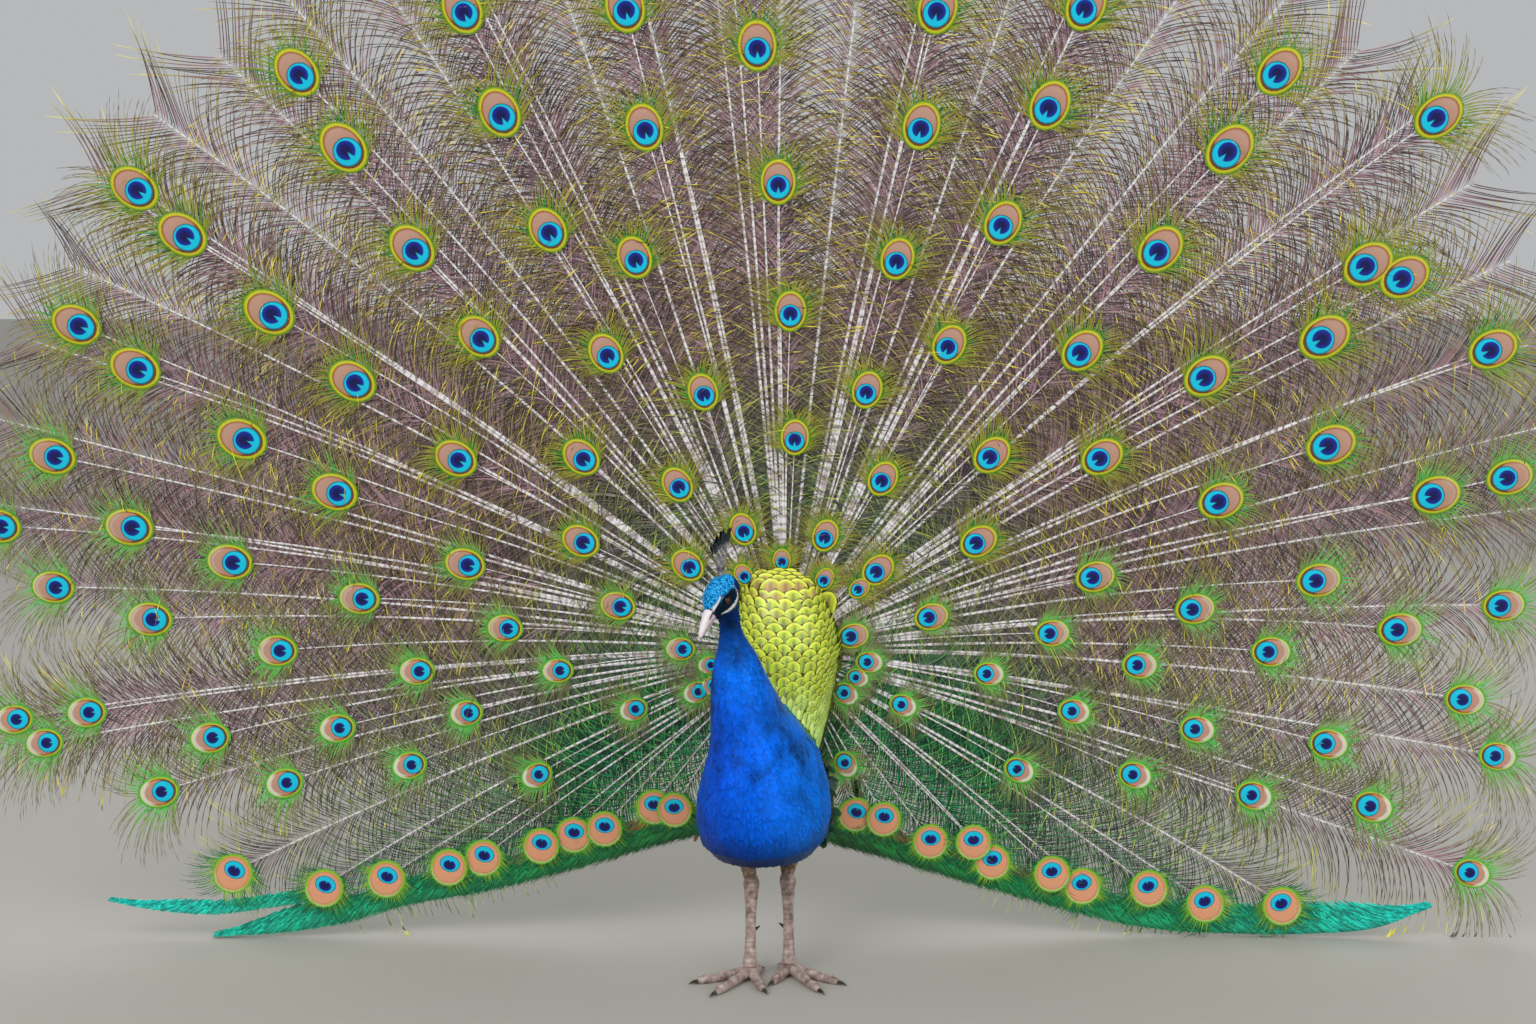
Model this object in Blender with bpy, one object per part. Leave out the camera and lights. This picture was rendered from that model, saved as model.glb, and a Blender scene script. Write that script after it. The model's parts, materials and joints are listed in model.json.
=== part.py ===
"""A displaying peacock (Pavo cristatus, adult male) as a life-size still model.

Metres, +Z up. The bird faces -Y and turns a little towards -X, so its left side is at +X.
The body is a stack of level slices, the head has its own tilted frame, and the train is a
fan of thin dished sheets round a hub behind the back. The origin is under the middle of the
whole model, on the floor.
"""

import math

import bmesh
import bpy
from mathutils import Matrix, Vector

# ---- driving dimensions ---------------------------------------------------------------------
GAP = 0.0003                       # what touching pieces keep between them
CUT_GAP = 0.0005                   # how far a cutter grows beyond the piece that it stands for
STANCE = Vector((-0.0261, -0.0702, 0.0))   # the middle of the feet, seen from the model's origin

BODY_YAW = math.radians(12)        # how far the body turns from -Y towards -X
BODY_FOOT = Vector((-0.007, 0.0, 0.0))   # where the body's own axis passes between the feet

# Level slices of trunk and neck: height, front and rear along the body, half-width, side shift.
BODY_LEVELS = (
    (0.174, 0.035, -0.060, 0.032, 0.0),
    (0.180, 0.074, -0.098, 0.053, 0.0),
    (0.193, 0.112, -0.132, 0.078, 0.003),
    (0.218, 0.144, -0.154, 0.0925, 0.004),
    (0.250, 0.162, -0.168, 0.0955, 0.004),
    (0.285, 0.168, -0.172, 0.0910, 0.003),
    (0.331, 0.164, -0.150, 0.0775, 0.0025),
    (0.353, 0.159, -0.105, 0.0690, 0.002),
    (0.382, 0.152, -0.065, 0.0600, -0.002),
    (0.401, 0.150, -0.045, 0.0525, -0.008),
    (0.432, 0.147, -0.005, 0.0460, -0.012),
    (0.463, 0.144, 0.040, 0.0395, -0.0135),
    (0.493, 0.141, 0.066, 0.0310, -0.0155),
    (0.522, 0.138, 0.088, 0.0205, -0.0190),
    (0.545, 0.138, 0.103, 0.0145, -0.0215),
    (0.572, 0.140, 0.106, 0.0145, -0.0230),
)
SLICE_POINTS = 20
# Heights at which the whole is parted into trunk and three lengths of neck.
TRUNK_TOP, NECK_CUT_1, NECK_CUT_2 = 0.382, 0.463, 0.522

HEAD_CENTRE = Vector((-0.066, -0.132, 0.582))
HEAD_YAW = math.radians(37)
HEAD_PITCH = math.radians(42)      # how far the bill points down
HEAD_LENGTH, HEAD_WIDTH, HEAD_HEIGHT = 0.074, 0.048, 0.053
BILL_ROOT, BILL_TIP, BILL_DROOP = 0.020, 0.067, 0.006
EYE_PLACE = (0.0070, 0.0187, 0.0050)     # ahead, to the side, up, in the head's frame
EYE_RADIUS = 0.0058
CREST_ROOT = Vector((-0.019, 0.0, 0.0195))     # ahead, to the side, up, in the head's frame
CREST_LENGTH, CREST_SPREAD = 0.060, math.radians(19)
CREST_STEMS = 7

HIND_PLANE = 0.1645                # nothing of the back reaches behind this, where the train stands
# Level slices of the raised back: height, half-width, depth in front of HIND_PLANE, middle in X.
BACK_LEVELS = (
    (0.268, 0.026, 0.040, 0.030),
    (0.282, 0.044, 0.085, 0.028),
    (0.312, 0.054, 0.122, 0.026),
    (0.350, 0.064, 0.134, 0.025),
    (0.400, 0.074, 0.132, 0.024),
    (0.450, 0.081, 0.118, 0.025),
    (0.490, 0.074, 0.096, 0.024),
    (0.522, 0.062, 0.070, 0.022),
    (0.543, 0.049, 0.050, 0.020),
    (0.559, 0.035, 0.033, 0.018),
    (0.567, 0.020, 0.020, 0.018),
)

HUB = Vector((0.026, 0.165, 0.450))      # where the train's feathers come together
TRAIN_INNER = 0.0335
TRAIN_THICK_HUB, TRAIN_THICK_EDGE = 0.0055, 0.0024
TRAIN_BACK, TRAIN_FORWARD = 0.060, 0.220   # how the fan dishes: back near the hub, forward at the rim
TRAIN_RIM = 1.30
# The fan's outline: angle above the horizon in degrees, then its reach from the hub on the
# bird's left and on its right. Near -30 degrees it lies on the floor.
TRAIN_OUTLINE = (
    (-78, 0.300, 0.275), (-70, 0.330, 0.300), (-62, 0.376, 0.335), (-53, 0.455, 0.408),
    (-44, 0.580, 0.510), (-38, 0.715, 0.630), (-34, 0.806, 0.740), (-31, 0.880, 0.876),
    (-29, 0.934, 0.934), (-26, 1.000, 0.995), (-21, 1.085, 1.105), (-16, 1.170, 1.180),
    (-10, 1.225, 1.230), (0, 1.262, 1.262), (30, 1.288, 1.288), (60, 1.298, 1.298),
    (90, 1.300, 1.300),
)
UPPER_SECTORS, UPPER_FROM = 12, -12      # sectors of the upper fan, and where it starts, in degrees
LOWER_SECTORS = ((-42, -12, 9), (-78, -42, 5))   # from, to, columns
TIP_NOTCH = 0.030                  # how deep the notches between feather tips are, as a share

RUMP_RADIUS, RUMP_REAR = 0.0330, 0.2150  # the stub that carries train and tail, through the hub

TAIL_REACH, TAIL_INNER = 0.430, 0.0345
TAIL_BEHIND = 0.026                # how far the tail stands behind the train
TAIL_FROM, TAIL_TO, TAIL_FEATHERS = 8, 172, 18
TAIL_THICK = 0.0022
DOWN_CENTRE, DOWN_SIZE = Vector((0.026, 0.230, 0.312)), Vector((0.086, 0.062, 0.100))
DOWN_FRONT = 0.1800                # the down's flat front face, just behind the train

HOCK_RADIUS, THIGH_RADIUS = 0.0090, 0.0225
TOE_RADIUS, CLAW_LENGTH = 0.0054, 0.014
# Each leg: side, sign, the foot's place, hock, the thigh's top, and then its toes: how each one
# heads, in degrees from -Y towards +X, and its length.
LEGS = (
    (
        "right", -1, (-0.0255, -0.025), (-0.0262, 0.006, 0.139), (-0.036, 0.000, 0.225),
        (("middle", -33, 0.092), ("outer", -69, 0.082), ("inner", 17, 0.068), ("hind", 150, 0.030)),
    ),
    (
        "left", 1, (0.0315, -0.012), (0.0275, 0.022, 0.139), (0.040, 0.014, 0.225),
        (("middle", 28, 0.090), ("outer", 57, 0.084), ("inner", -29, 0.052), ("hind", -155, 0.030)),
    ),
)

COLOURS = {
    "skin_blue": ((0.010, 0.060, 0.420), 0.45),
    "neck_blue": ((0.008, 0.050, 0.360), 0.45),
    "crest_blue": ((0.010, 0.060, 0.300), 0.50),
    "back_gold": ((0.480, 0.600, 0.060), 0.40),
    "train_vane": ((0.210, 0.190, 0.090), 0.60),
    "train_teal": ((0.010, 0.250, 0.140), 0.50),
    "tail_brown": ((0.150, 0.110, 0.070), 0.70),
    "wing_dark": ((0.030, 0.035, 0.040), 0.60),
    "wing_rufous": ((0.420, 0.180, 0.070), 0.60),
    "down_grey": ((0.260, 0.230, 0.190), 0.80),
    "thigh_buff": ((0.330, 0.270, 0.200), 0.75),
    "leg_grey": ((0.330, 0.270, 0.240), 0.65),
    "horn": ((0.560, 0.500, 0.460), 0.45),
    "claw": ((0.060, 0.050, 0.045), 0.50),
    "eye": ((0.020, 0.012, 0.008), 0.10),
}

# ---- scene, materials and small helpers -------------------------------------------------------


def clear_scene():
    for obj in list(bpy.data.objects):
        bpy.data.objects.remove(obj, do_unlink=True)


def make_collection(name, hidden=False):
    collection = bpy.data.collections.new(name)
    bpy.context.scene.collection.children.link(collection)
    collection.hide_render = hidden
    return collection


def make_material(name):
    colour, roughness = COLOURS[name]
    material = bpy.data.materials.get(name)
    if material is None:
        material = bpy.data.materials.new(name)
        material.use_nodes = True
        shader = material.node_tree.nodes["Principled BSDF"]
        shader.inputs["Base Color"].default_value = (*colour, 1.0)
        shader.inputs["Roughness"].default_value = roughness
        shader.inputs["Metallic"].default_value = 0.0
        material.diffuse_color = (*colour, 1.0)
    return material


def add_object(name, mesh, material_name):
    mesh.materials.append(make_material(material_name))
    obj = bpy.data.objects.new(name, mesh)
    PARTS.objects.link(obj)
    mesh.shade_smooth()
    mesh.set_sharp_from_angle(angle=math.radians(40))
    return obj


def smooth_step(t):
    t = min(1.0, max(0.0, t))
    return t * t * (3 - 2 * t)


def interpolate(rows, key):
    """The columns of rows at key, on a smooth curve through them. The first column is the key."""
    keys = [row[0] for row in rows]
    if key <= keys[0]:
        return rows[0][1:]
    if key >= keys[-1]:
        return rows[-1][1:]
    i = max(j for j in range(len(rows) - 1) if keys[j] <= key)
    before, after = rows[max(i - 1, 0)], rows[min(i + 2, len(rows) - 1)]
    low, high = rows[i], rows[i + 1]
    span = high[0] - low[0]
    t = (key - low[0]) / span
    found = []
    for c in range(1, len(low)):
        slope_low = (high[c] - before[c]) / (high[0] - before[0]) * span
        slope_high = (after[c] - low[c]) / (after[0] - low[0]) * span
        found.append(
            (2 * t**3 - 3 * t**2 + 1) * low[c] + (t**3 - 2 * t**2 + t) * slope_low
            + (3 * t**2 - 2 * t**3) * high[c] + (t**3 - t**2) * slope_high
        )
    return found


def loft(name, rings, material_name):
    """A closed solid through rings of as many points each, capped at both ends."""
    mesh = bpy.data.meshes.new(name)
    build = bmesh.new()
    lines = [[build.verts.new(point) for point in ring] for ring in rings]
    for low, high in zip(lines, lines[1:]):
        for i in range(len(low)):
            j = (i + 1) % len(low)
            build.faces.new((low[i], low[j], high[j], high[i]))
    build.faces.new(reversed(lines[0]))
    build.faces.new(lines[-1])
    bmesh.ops.recalc_face_normals(build, faces=build.faces)
    build.to_mesh(mesh)
    build.free()
    return add_object(name, mesh, material_name)


def evaluated_copy(obj, name):
    """A mesh object with obj's shape after its modifiers."""
    bpy.context.view_layer.update()
    graph = bpy.context.evaluated_depsgraph_get()
    mesh = bpy.data.meshes.new_from_object(obj.evaluated_get(graph))
    copy = bpy.data.objects.new(name, mesh)
    copy.matrix_world = obj.matrix_world
    return copy


def grown(obj, by):
    """A hidden cutter in the shape of obj, moved out along its normals."""
    cutter = evaluated_copy(obj, "cutter_" + obj.name)
    for vertex, normal in [(v, v.normal.copy()) for v in cutter.data.vertices]:
        vertex.co += normal * by
    return hide_cutter(cutter)


def hide_cutter(cutter):
    CUTTERS.objects.link(cutter)
    cutter.hide_render = True
    cutter.display_type = "WIRE"
    return cutter


def box_cutter(name, low, high):
    mesh = bpy.data.meshes.new(name)
    build = bmesh.new()
    bmesh.ops.create_cube(build, size=1.0)
    build.to_mesh(mesh)
    build.free()
    low, high = Vector(low), Vector(high)
    mesh.transform(Matrix.Translation((low + high) / 2) @ Matrix.Diagonal((*(high - low), 1)))
    return hide_cutter(bpy.data.objects.new(name, mesh))


def boolean(obj, other, operation="DIFFERENCE"):
    modifier = obj.modifiers.new(operation.lower() + "_" + other.name, "BOOLEAN")
    modifier.operation = operation
    modifier.solver = "EXACT"
    modifier.object = other


def tube_rings(path, radii, points=12, flatten=1.0):
    """Rings round a path of points. flatten squeezes each ring along its second axis."""
    path = [Vector(p) for p in path]
    rings = []
    side = None
    for i, centre in enumerate(path):
        along = (path[min(i + 1, len(path) - 1)] - path[max(i - 1, 0)]).normalized()
        if side is None:
            helper = Vector((1, 0, 0)) if abs(along.x) < 0.8 else Vector((0, 1, 0))
            side = helper
        side = (side - along * side.dot(along)).normalized()
        other = along.cross(side)
        turns = [math.tau * k / points for k in range(points)]
        rings.append(
            [
                centre + side * (radii[i] * math.cos(a)) + other * (radii[i] * flatten * math.sin(a))
                for a in turns
            ]
        )
    return rings


# ---- trunk and neck ---------------------------------------------------------------------------


def body_place(ahead, side, height):
    """A point given along the body's own axis, to its left, and up."""
    return BODY_FOOT + Vector(
        (
            -ahead * math.sin(BODY_YAW) + side * math.cos(BODY_YAW),
            -ahead * math.cos(BODY_YAW) - side * math.sin(BODY_YAW),
            height,
        )
    )


def body_slice(height):
    """One level ring of the body: an egg, blunter in front."""
    front, rear, half_width, shift = interpolate(BODY_LEVELS, height)
    middle, half_length = (front + rear) / 2, (front - rear) / 2
    ring = []
    for k in range(SLICE_POINTS):
        turn = math.tau * k / SLICE_POINTS
        ahead = middle + half_length * math.cos(turn)
        side = shift + half_width * math.sin(turn) * (1 + 0.10 * math.cos(turn))
        ring.append(body_place(ahead, side, height))
    return ring


def make_body():
    """Trunk and neck, modelled as one stack of slices and parted at three heights."""
    lengths = (
        ("trunk", BODY_LEVELS[0][0], TRUNK_TOP, 12, "skin_blue"),
        ("neck_lower", TRUNK_TOP, NECK_CUT_1, 4, "neck_blue"),
        ("neck_middle", NECK_CUT_1, NECK_CUT_2, 4, "neck_blue"),
        ("neck_upper", NECK_CUT_2, BODY_LEVELS[-1][0], 4, "neck_blue"),
    )
    made = {}
    for name, low, high, steps, material_name in lengths:
        low += GAP if name != "trunk" else 0
        heights = [low + (high - low) * i / steps for i in range(steps + 1)]
        if name == "trunk":
            heights = [row[0] for row in BODY_LEVELS if row[0] <= TRUNK_TOP]
        made[name] = loft(name, [body_slice(z) for z in heights], material_name)
    return made


# ---- head, bill, eyes and crest ---------------------------------------------------------------


def head_frame():
    """A matrix whose columns are ahead (the bill's way), to the bird's left, and up."""
    yaw, pitch = HEAD_YAW, HEAD_PITCH
    ahead = Vector((-math.sin(yaw) * math.cos(pitch), -math.cos(yaw) * math.cos(pitch), -math.sin(pitch)))
    left = Vector((math.cos(yaw), -math.sin(yaw), 0))
    up = Vector((-math.sin(yaw) * math.sin(pitch), -math.cos(yaw) * math.sin(pitch), math.cos(pitch)))
    return Matrix.Translation(HEAD_CENTRE) @ Matrix((ahead, left, up)).transposed().to_4x4()


HEAD = head_frame()


def head_place(ahead, side, up):
    return HEAD @ Vector((ahead, side, up))


def cross_section(ahead, half_width, top, bottom, points):
    """A ring across the head's frame, with its own reach up and down."""
    ring = []
    for k in range(points):
        turn = math.tau * k / points
        rise = math.sin(turn)
        ring.append(head_place(ahead, half_width * math.cos(turn), rise * (top if rise > 0 else -bottom)))
    return ring


def make_head():
    """An egg that narrows to the face, with a flatter crown and full cheeks."""
    half = HEAD_LENGTH / 2
    # Place along the head as a share of half its length, then width, crown and throat shares.
    shares = (
        (-0.99, 0.18, 0.20, 0.20), (-0.90, 0.50, 0.52, 0.50), (-0.70, 0.78, 0.80, 0.76),
        (-0.42, 0.95, 0.97, 0.94), (-0.10, 1.00, 1.00, 1.00), (0.20, 0.96, 0.95, 0.96),
        (0.45, 0.83, 0.82, 0.82), (0.66, 0.64, 0.66, 0.64), (0.82, 0.47, 0.52, 0.48),
        (0.93, 0.33, 0.38, 0.34),
    )
    rings = []
    for place, width, crown, throat in shares:
        rings.append(
            cross_section(
                place * half, width * HEAD_WIDTH / 2, crown * HEAD_HEIGHT / 2, -throat * HEAD_HEIGHT / 2, 16
            )
        )
    return loft("head", rings, "skin_blue")


def make_bill(head_cutter):
    """Two mandibles on either side of a level gap; the upper one hooks over the lower."""
    span = BILL_TIP - BILL_ROOT
    stages = (0.0, 0.22, 0.42, 0.60, 0.76, 0.89, 0.97)
    upper, lower = [], []
    for share in stages:
        droop = -BILL_DROOP * share**2.2
        width = 0.0098 * (1 - share) ** 0.50 + 0.0010
        tall = 0.0124 * (1 - share) ** 0.52 + 0.0012
        ring = []
        for k in range(12):
            turn = math.tau * k / 12
            rise = math.sin(turn)
            up = rise * tall if rise > 0 else rise * 0.0012
            ring.append(head_place(BILL_ROOT + share * span, width * math.cos(turn), droop - 0.0010 + up))
        upper.append(ring)
        if share > 0.9:
            continue
        ring = []
        for k in range(12):
            turn = math.tau * k / 12
            rise = math.sin(turn)
            up = rise * 0.0060 * (1 - share) ** 0.6 if rise < 0 else rise * 0.0006
            ahead = BILL_ROOT + share * span * 0.96
            ring.append(head_place(ahead, width * 0.86 * math.cos(turn), droop - 0.0036 + up))
        lower.append(ring)
    for obj in (loft("bill_upper", upper, "horn"), loft("bill_lower", lower, "horn")):
        boolean(obj, head_cutter)


def ball(name, centre, radius, material_name, rings=8):
    mesh = bpy.data.meshes.new(name)
    build = bmesh.new()
    bmesh.ops.create_uvsphere(build, u_segments=rings * 2, v_segments=rings, radius=radius)
    build.to_mesh(mesh)
    build.free()
    mesh.transform(Matrix.Translation(centre) @ HEAD.to_3x3().to_4x4())
    return add_object(name, mesh, material_name)


def make_eyes(head):
    ahead, side, up = EYE_PLACE
    for name, sign in (("eye_left", 1), ("eye_right", -1)):
        eye = ball(name, head_place(ahead, sign * side, up), EYE_RADIUS, "eye", 6)
        boolean(head, grown(eye, CUT_GAP))


def make_crest(head_cutter):
    """Bare stems that fan out lengthwise over the crown, each ending in a small paddle."""
    upright = Vector((-math.sin(HEAD_PITCH), 0.0, math.cos(HEAD_PITCH)))
    forward = Vector((math.cos(HEAD_PITCH), 0.0, math.sin(HEAD_PITCH)))

    def place(turn, reach, across):
        out = upright * math.cos(turn) + forward * math.sin(turn)
        level = forward * math.cos(turn) - upright * math.sin(turn)
        return CREST_ROOT + out * reach + level * across

    outline = []
    foot, stem, paddle = 0.010, 0.00055, 0.0027
    profile = ((0.30, stem), (0.76, stem), (0.86, paddle), (0.96, paddle * 0.9), (1.0, paddle * 0.3))
    for k in range(CREST_STEMS):
        turn = CREST_SPREAD * (2 * k / (CREST_STEMS - 1) - 1)
        reach = CREST_LENGTH * (1 - 0.20 * turn / CREST_SPREAD)
        outline += [place(turn, reach * share, -half) for share, half in profile]
        outline += [place(turn, reach * share, half) for share, half in reversed(profile)]
    outline.append(place(CREST_SPREAD * 0.6, 0.0, foot * 0.2))
    outline.append(place(-CREST_SPREAD * 0.6, 0.0, -foot * 0.2))
    curve = bpy.data.curves.new("crest", "CURVE")
    curve.dimensions = "2D"
    curve.fill_mode = "BOTH"
    curve.extrude = 0.0006
    spline = curve.splines.new("POLY")
    spline.points.add(len(outline) - 1)
    for point, place_ in zip(spline.points, outline):
        point.co = (place_.x, place_.z, 0.0, 1.0)
    spline.use_cyclic_u = True
    flat = bpy.data.objects.new("crest_outline", curve)
    PARTS.objects.link(flat)
    solid = evaluated_copy(flat, "crest_solid")
    bpy.data.objects.remove(flat)
    build = bmesh.new()
    build.from_mesh(solid.data)
    bmesh.ops.remove_doubles(build, verts=build.verts, dist=0.00002)
    bmesh.ops.recalc_face_normals(build, faces=build.faces)
    build.to_mesh(solid.data)
    build.free()
    stand_up = Matrix.Rotation(math.radians(90), 4, "X")
    solid.data.transform(HEAD @ stand_up)
    crest = add_object("crest", solid.data, "crest_blue")
    boolean(crest, head_cutter)


# ---- back, wings and down ---------------------------------------------------------------------


def make_back(cutters):
    """The raised back: level slices, round in front and flat behind, cut to sit on the body."""
    rings = []
    for height, *_ in BACK_LEVELS:
        half_width, depth, middle = interpolate(BACK_LEVELS, height)
        ring = []
        for k in range(15):
            turn = math.pi * k / 14
            across = math.copysign(abs(math.cos(turn)) ** 0.85, math.cos(turn))
            ring.append(
                Vector((middle + half_width * across, HIND_PLANE - depth * math.sin(turn) ** 0.9, height))
            )
        for share in (-0.5, 0.0, 0.5):
            ring.append(Vector((middle + half_width * share, HIND_PLANE, height)))
        rings.append(ring)
    back = loft("back", rings, "back_gold")
    whole = grown(back, CUT_GAP)
    for cutter in cutters:
        boolean(back, cutter)
    return whole


def make_wings(cutters):
    """Drooped wings that hug the flanks, flared below, cut to fit the trunk and the train."""
    for name, sign in (("wing_left", 1), ("wing_right", -1)):
        rings = []
        for share in (0.0, 0.10, 0.28, 0.50, 0.72, 0.90, 1.0):
            swell = math.sin(math.pi * (0.10 + 0.82 * share)) ** 0.6
            ahead = 0.055 - 0.220 * share
            ring = []
            for k in range(16):
                turn = math.tau * k / 16
                flare = 0.020 * math.sin(math.pi * share) * max(0.0, -math.sin(turn)) ** 1.5
                out = 0.0555 + 0.033 * swell * math.cos(turn) + flare
                up = 0.262 - 0.024 * share + 0.068 * swell * math.sin(turn)
                ring.append(body_place(ahead, sign * out, up))
            rings.append(ring)
        wing = loft(name, rings, "wing_dark")
        for cutter in cutters:
            boolean(wing, cutter)


def make_primaries():
    """The wings' flight feathers, which hang down and back behind the train's foot."""
    for name, sign in (("primaries_left", 1), ("primaries_right", -1)):
        rings = []
        for share in (0.0, 0.2, 0.45, 0.7, 0.9, 1.0):
            centre = Vector(
                (
                    HUB.x + sign * (0.094 + 0.055 * share),
                    0.1815 + 0.125 * share,
                    0.262 - 0.140 * share - 0.02 * share**2,
                )
            )
            half_tall = 0.046 * (1 - 0.80 * share**2.2)
            ring = []
            for k in range(12):
                turn = math.tau * k / 12
                across, up = 0.0045 * (1 - 0.5 * share) * math.cos(turn), half_tall * math.sin(turn)
                ring.append(centre + Vector((sign * across, up * 0.35 * share, up)))
            rings.append(ring)
        loft(name, rings, "wing_rufous")


def make_down():
    """The soft feathers under the tail, a loose ball cut flat where it meets the train."""
    rings = []
    for share in (-0.97, -0.82, -0.52, -0.12, 0.28, 0.62, 0.86, 0.97):
        spread = math.sqrt(1 - share**2)
        ring = []
        for k in range(16):
            turn = math.tau * k / 16
            lobe = spread * (1 + 0.05 * math.cos(6 * turn))
            way = Vector((lobe * math.cos(turn), lobe * math.sin(turn), share))
            ring.append(DOWN_CENTRE + way * DOWN_SIZE)
        rings.append(ring)
    down = loft("undertail", rings, "down_grey")
    boolean(down, box_cutter("before_down", (-0.4, 0.0, 0.0), (0.4, DOWN_FRONT, 0.9)))


def make_rump():
    """The stub of the tail, round which train and tail spread."""
    mesh = bpy.data.meshes.new("rump")
    build = bmesh.new()
    length = RUMP_REAR - HIND_PLANE - GAP
    bmesh.ops.create_cone(
        build, cap_ends=True, segments=24, radius1=RUMP_RADIUS, radius2=RUMP_RADIUS * 0.95, depth=length
    )
    build.to_mesh(mesh)
    build.free()
    middle = Vector((HUB.x, HIND_PLANE + GAP + length / 2, HUB.z))
    mesh.transform(Matrix.Translation(middle) @ Matrix.Rotation(math.radians(-90), 4, "X"))
    add_object("rump", mesh, "down_grey")


# ---- train and tail ---------------------------------------------------------------------------


def fan_reach(degrees):
    """How far the train reaches from the hub at this angle above the horizon."""
    if degrees <= 90:
        return interpolate(TRAIN_OUTLINE, degrees)[0]
    return interpolate(TRAIN_OUTLINE, 180 - degrees)[1]


def fan_depth(reach, degrees):
    """The dished fan's place along Y."""
    share = reach / TRAIN_RIM
    lift = max(0.0, math.sin(math.radians(degrees)))
    return HUB.y + TRAIN_BACK * share - TRAIN_FORWARD * share**2 * (0.35 + 0.65 * lift)


def fan_sheet(name, start, end, columns, rows, inner, outer, thickness, behind, material_name):
    """A thin sector of a fan. outer(column, angle) is the reach of the rim there.
    The sides stand GAP / 2 inside the true angles, so that neighbours don't touch."""
    turns = [start + (end - start) * c / columns for c in range(columns + 1)]
    front, rear = [], []
    build = bmesh.new()
    for c, degrees in enumerate(turns):
        angle = math.radians(degrees)
        out = Vector((math.cos(angle), 0, math.sin(angle)))
        tangent = Vector((-math.sin(angle), 0, math.cos(angle)))
        inset = {0: GAP, columns: -GAP}.get(c, 0.0)
        rim = outer(c, degrees)
        front_line, rear_line = [], []
        for r in range(rows + 1):
            reach = inner + (rim - inner) * (r / rows)
            thick = thickness(reach)
            flat = HUB + out * reach + tangent * inset
            flat.y = fan_depth(reach, degrees) + behind
            flat.z = max(0.0, flat.z)
            front_line.append(build.verts.new(flat))
            rear_line.append(build.verts.new(flat + Vector((0, thick, 0))))
        front.append(front_line)
        rear.append(rear_line)
    for c in range(columns):
        for r in range(rows):
            build.faces.new((front[c][r], front[c + 1][r], front[c + 1][r + 1], front[c][r + 1]))
            build.faces.new((rear[c][r], rear[c][r + 1], rear[c + 1][r + 1], rear[c + 1][r]))
        build.faces.new((front[c][0], rear[c][0], rear[c + 1][0], front[c + 1][0]))
        build.faces.new((front[c][rows], front[c + 1][rows], rear[c + 1][rows], rear[c][rows]))
    for line, back_line in ((front[0], rear[0]), (front[-1], rear[-1])):
        for r in range(rows):
            build.faces.new((line[r], line[r + 1], back_line[r + 1], back_line[r]))
    bmesh.ops.recalc_face_normals(build, faces=build.faces)
    mesh = bpy.data.meshes.new(name)
    build.to_mesh(mesh)
    build.free()
    return add_object(name, mesh, material_name)


def train_thickness(reach):
    share = smooth_step((reach - 0.05) / 0.55)
    return TRAIN_THICK_HUB + (TRAIN_THICK_EDGE - TRAIN_THICK_HUB) * share


def make_train():
    """The upper fan with its rim of feather tips, and the low sheets that reach the floor."""
    step = (180 - 2 * UPPER_FROM) / UPPER_SECTORS

    def tips(column, degrees):
        return fan_reach(degrees) * (1 - TIP_NOTCH * (column % 2 == 0))

    for k in range(UPPER_SECTORS):
        start = UPPER_FROM + k * step
        fan_sheet(
            f"train_{k + 1:02d}", start, start + step, 6, 5, TRAIN_INNER, tips,
            train_thickness, 0.0, "train_vane",
        )
    for k, (low, high, columns) in enumerate(LOWER_SECTORS):
        for side, start, end in (("left", low, high), ("right", 180 - high, 180 - low)):
            fan_sheet(
                f"train_low_{side}_{k + 1}", start, end, columns, 5, TRAIN_INNER,
                lambda column, degrees: fan_reach(degrees), train_thickness, 0.0, "train_teal",
            )


def make_tail():
    """The stiff tail feathers that prop up the train from behind, in three sheets."""
    step = (TAIL_TO - TAIL_FROM) / 3
    columns = 2 * TAIL_FEATHERS // 3

    def tips(column, degrees):
        return TAIL_REACH * (1 - 0.05 * (column % 2 == 0)) * (0.90 + 0.10 * math.sin(math.radians(degrees)))

    for k, name in enumerate(("tail_left", "tail_middle", "tail_right")):
        start = TAIL_FROM + k * step
        fan_sheet(
            name, start, start + step, columns, 3, TAIL_INNER, tips,
            lambda reach: TAIL_THICK, TAIL_BEHIND, "tail_brown",
        )


# ---- legs -------------------------------------------------------------------------------------


def toe_path(foot, heading, length, lift):
    """A toe from the foot's middle: a low arch over the joints, down to the floor."""
    turn = math.radians(heading)
    way = Vector((math.sin(turn), -math.cos(turn), 0))
    path = []
    for share in (0.0, 0.18, 0.36, 0.52, 0.68, 0.84, 1.0):
        knuckle = 0.0007 * math.sin(share * math.pi * 3.0) ** 2 if share < 0.8 else 0.0
        height = TOE_RADIUS * 0.80 + lift * (1 - share) ** 2 + knuckle
        path.append(foot + way * (length * share) + Vector((0, 0, height)))
    return path


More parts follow.
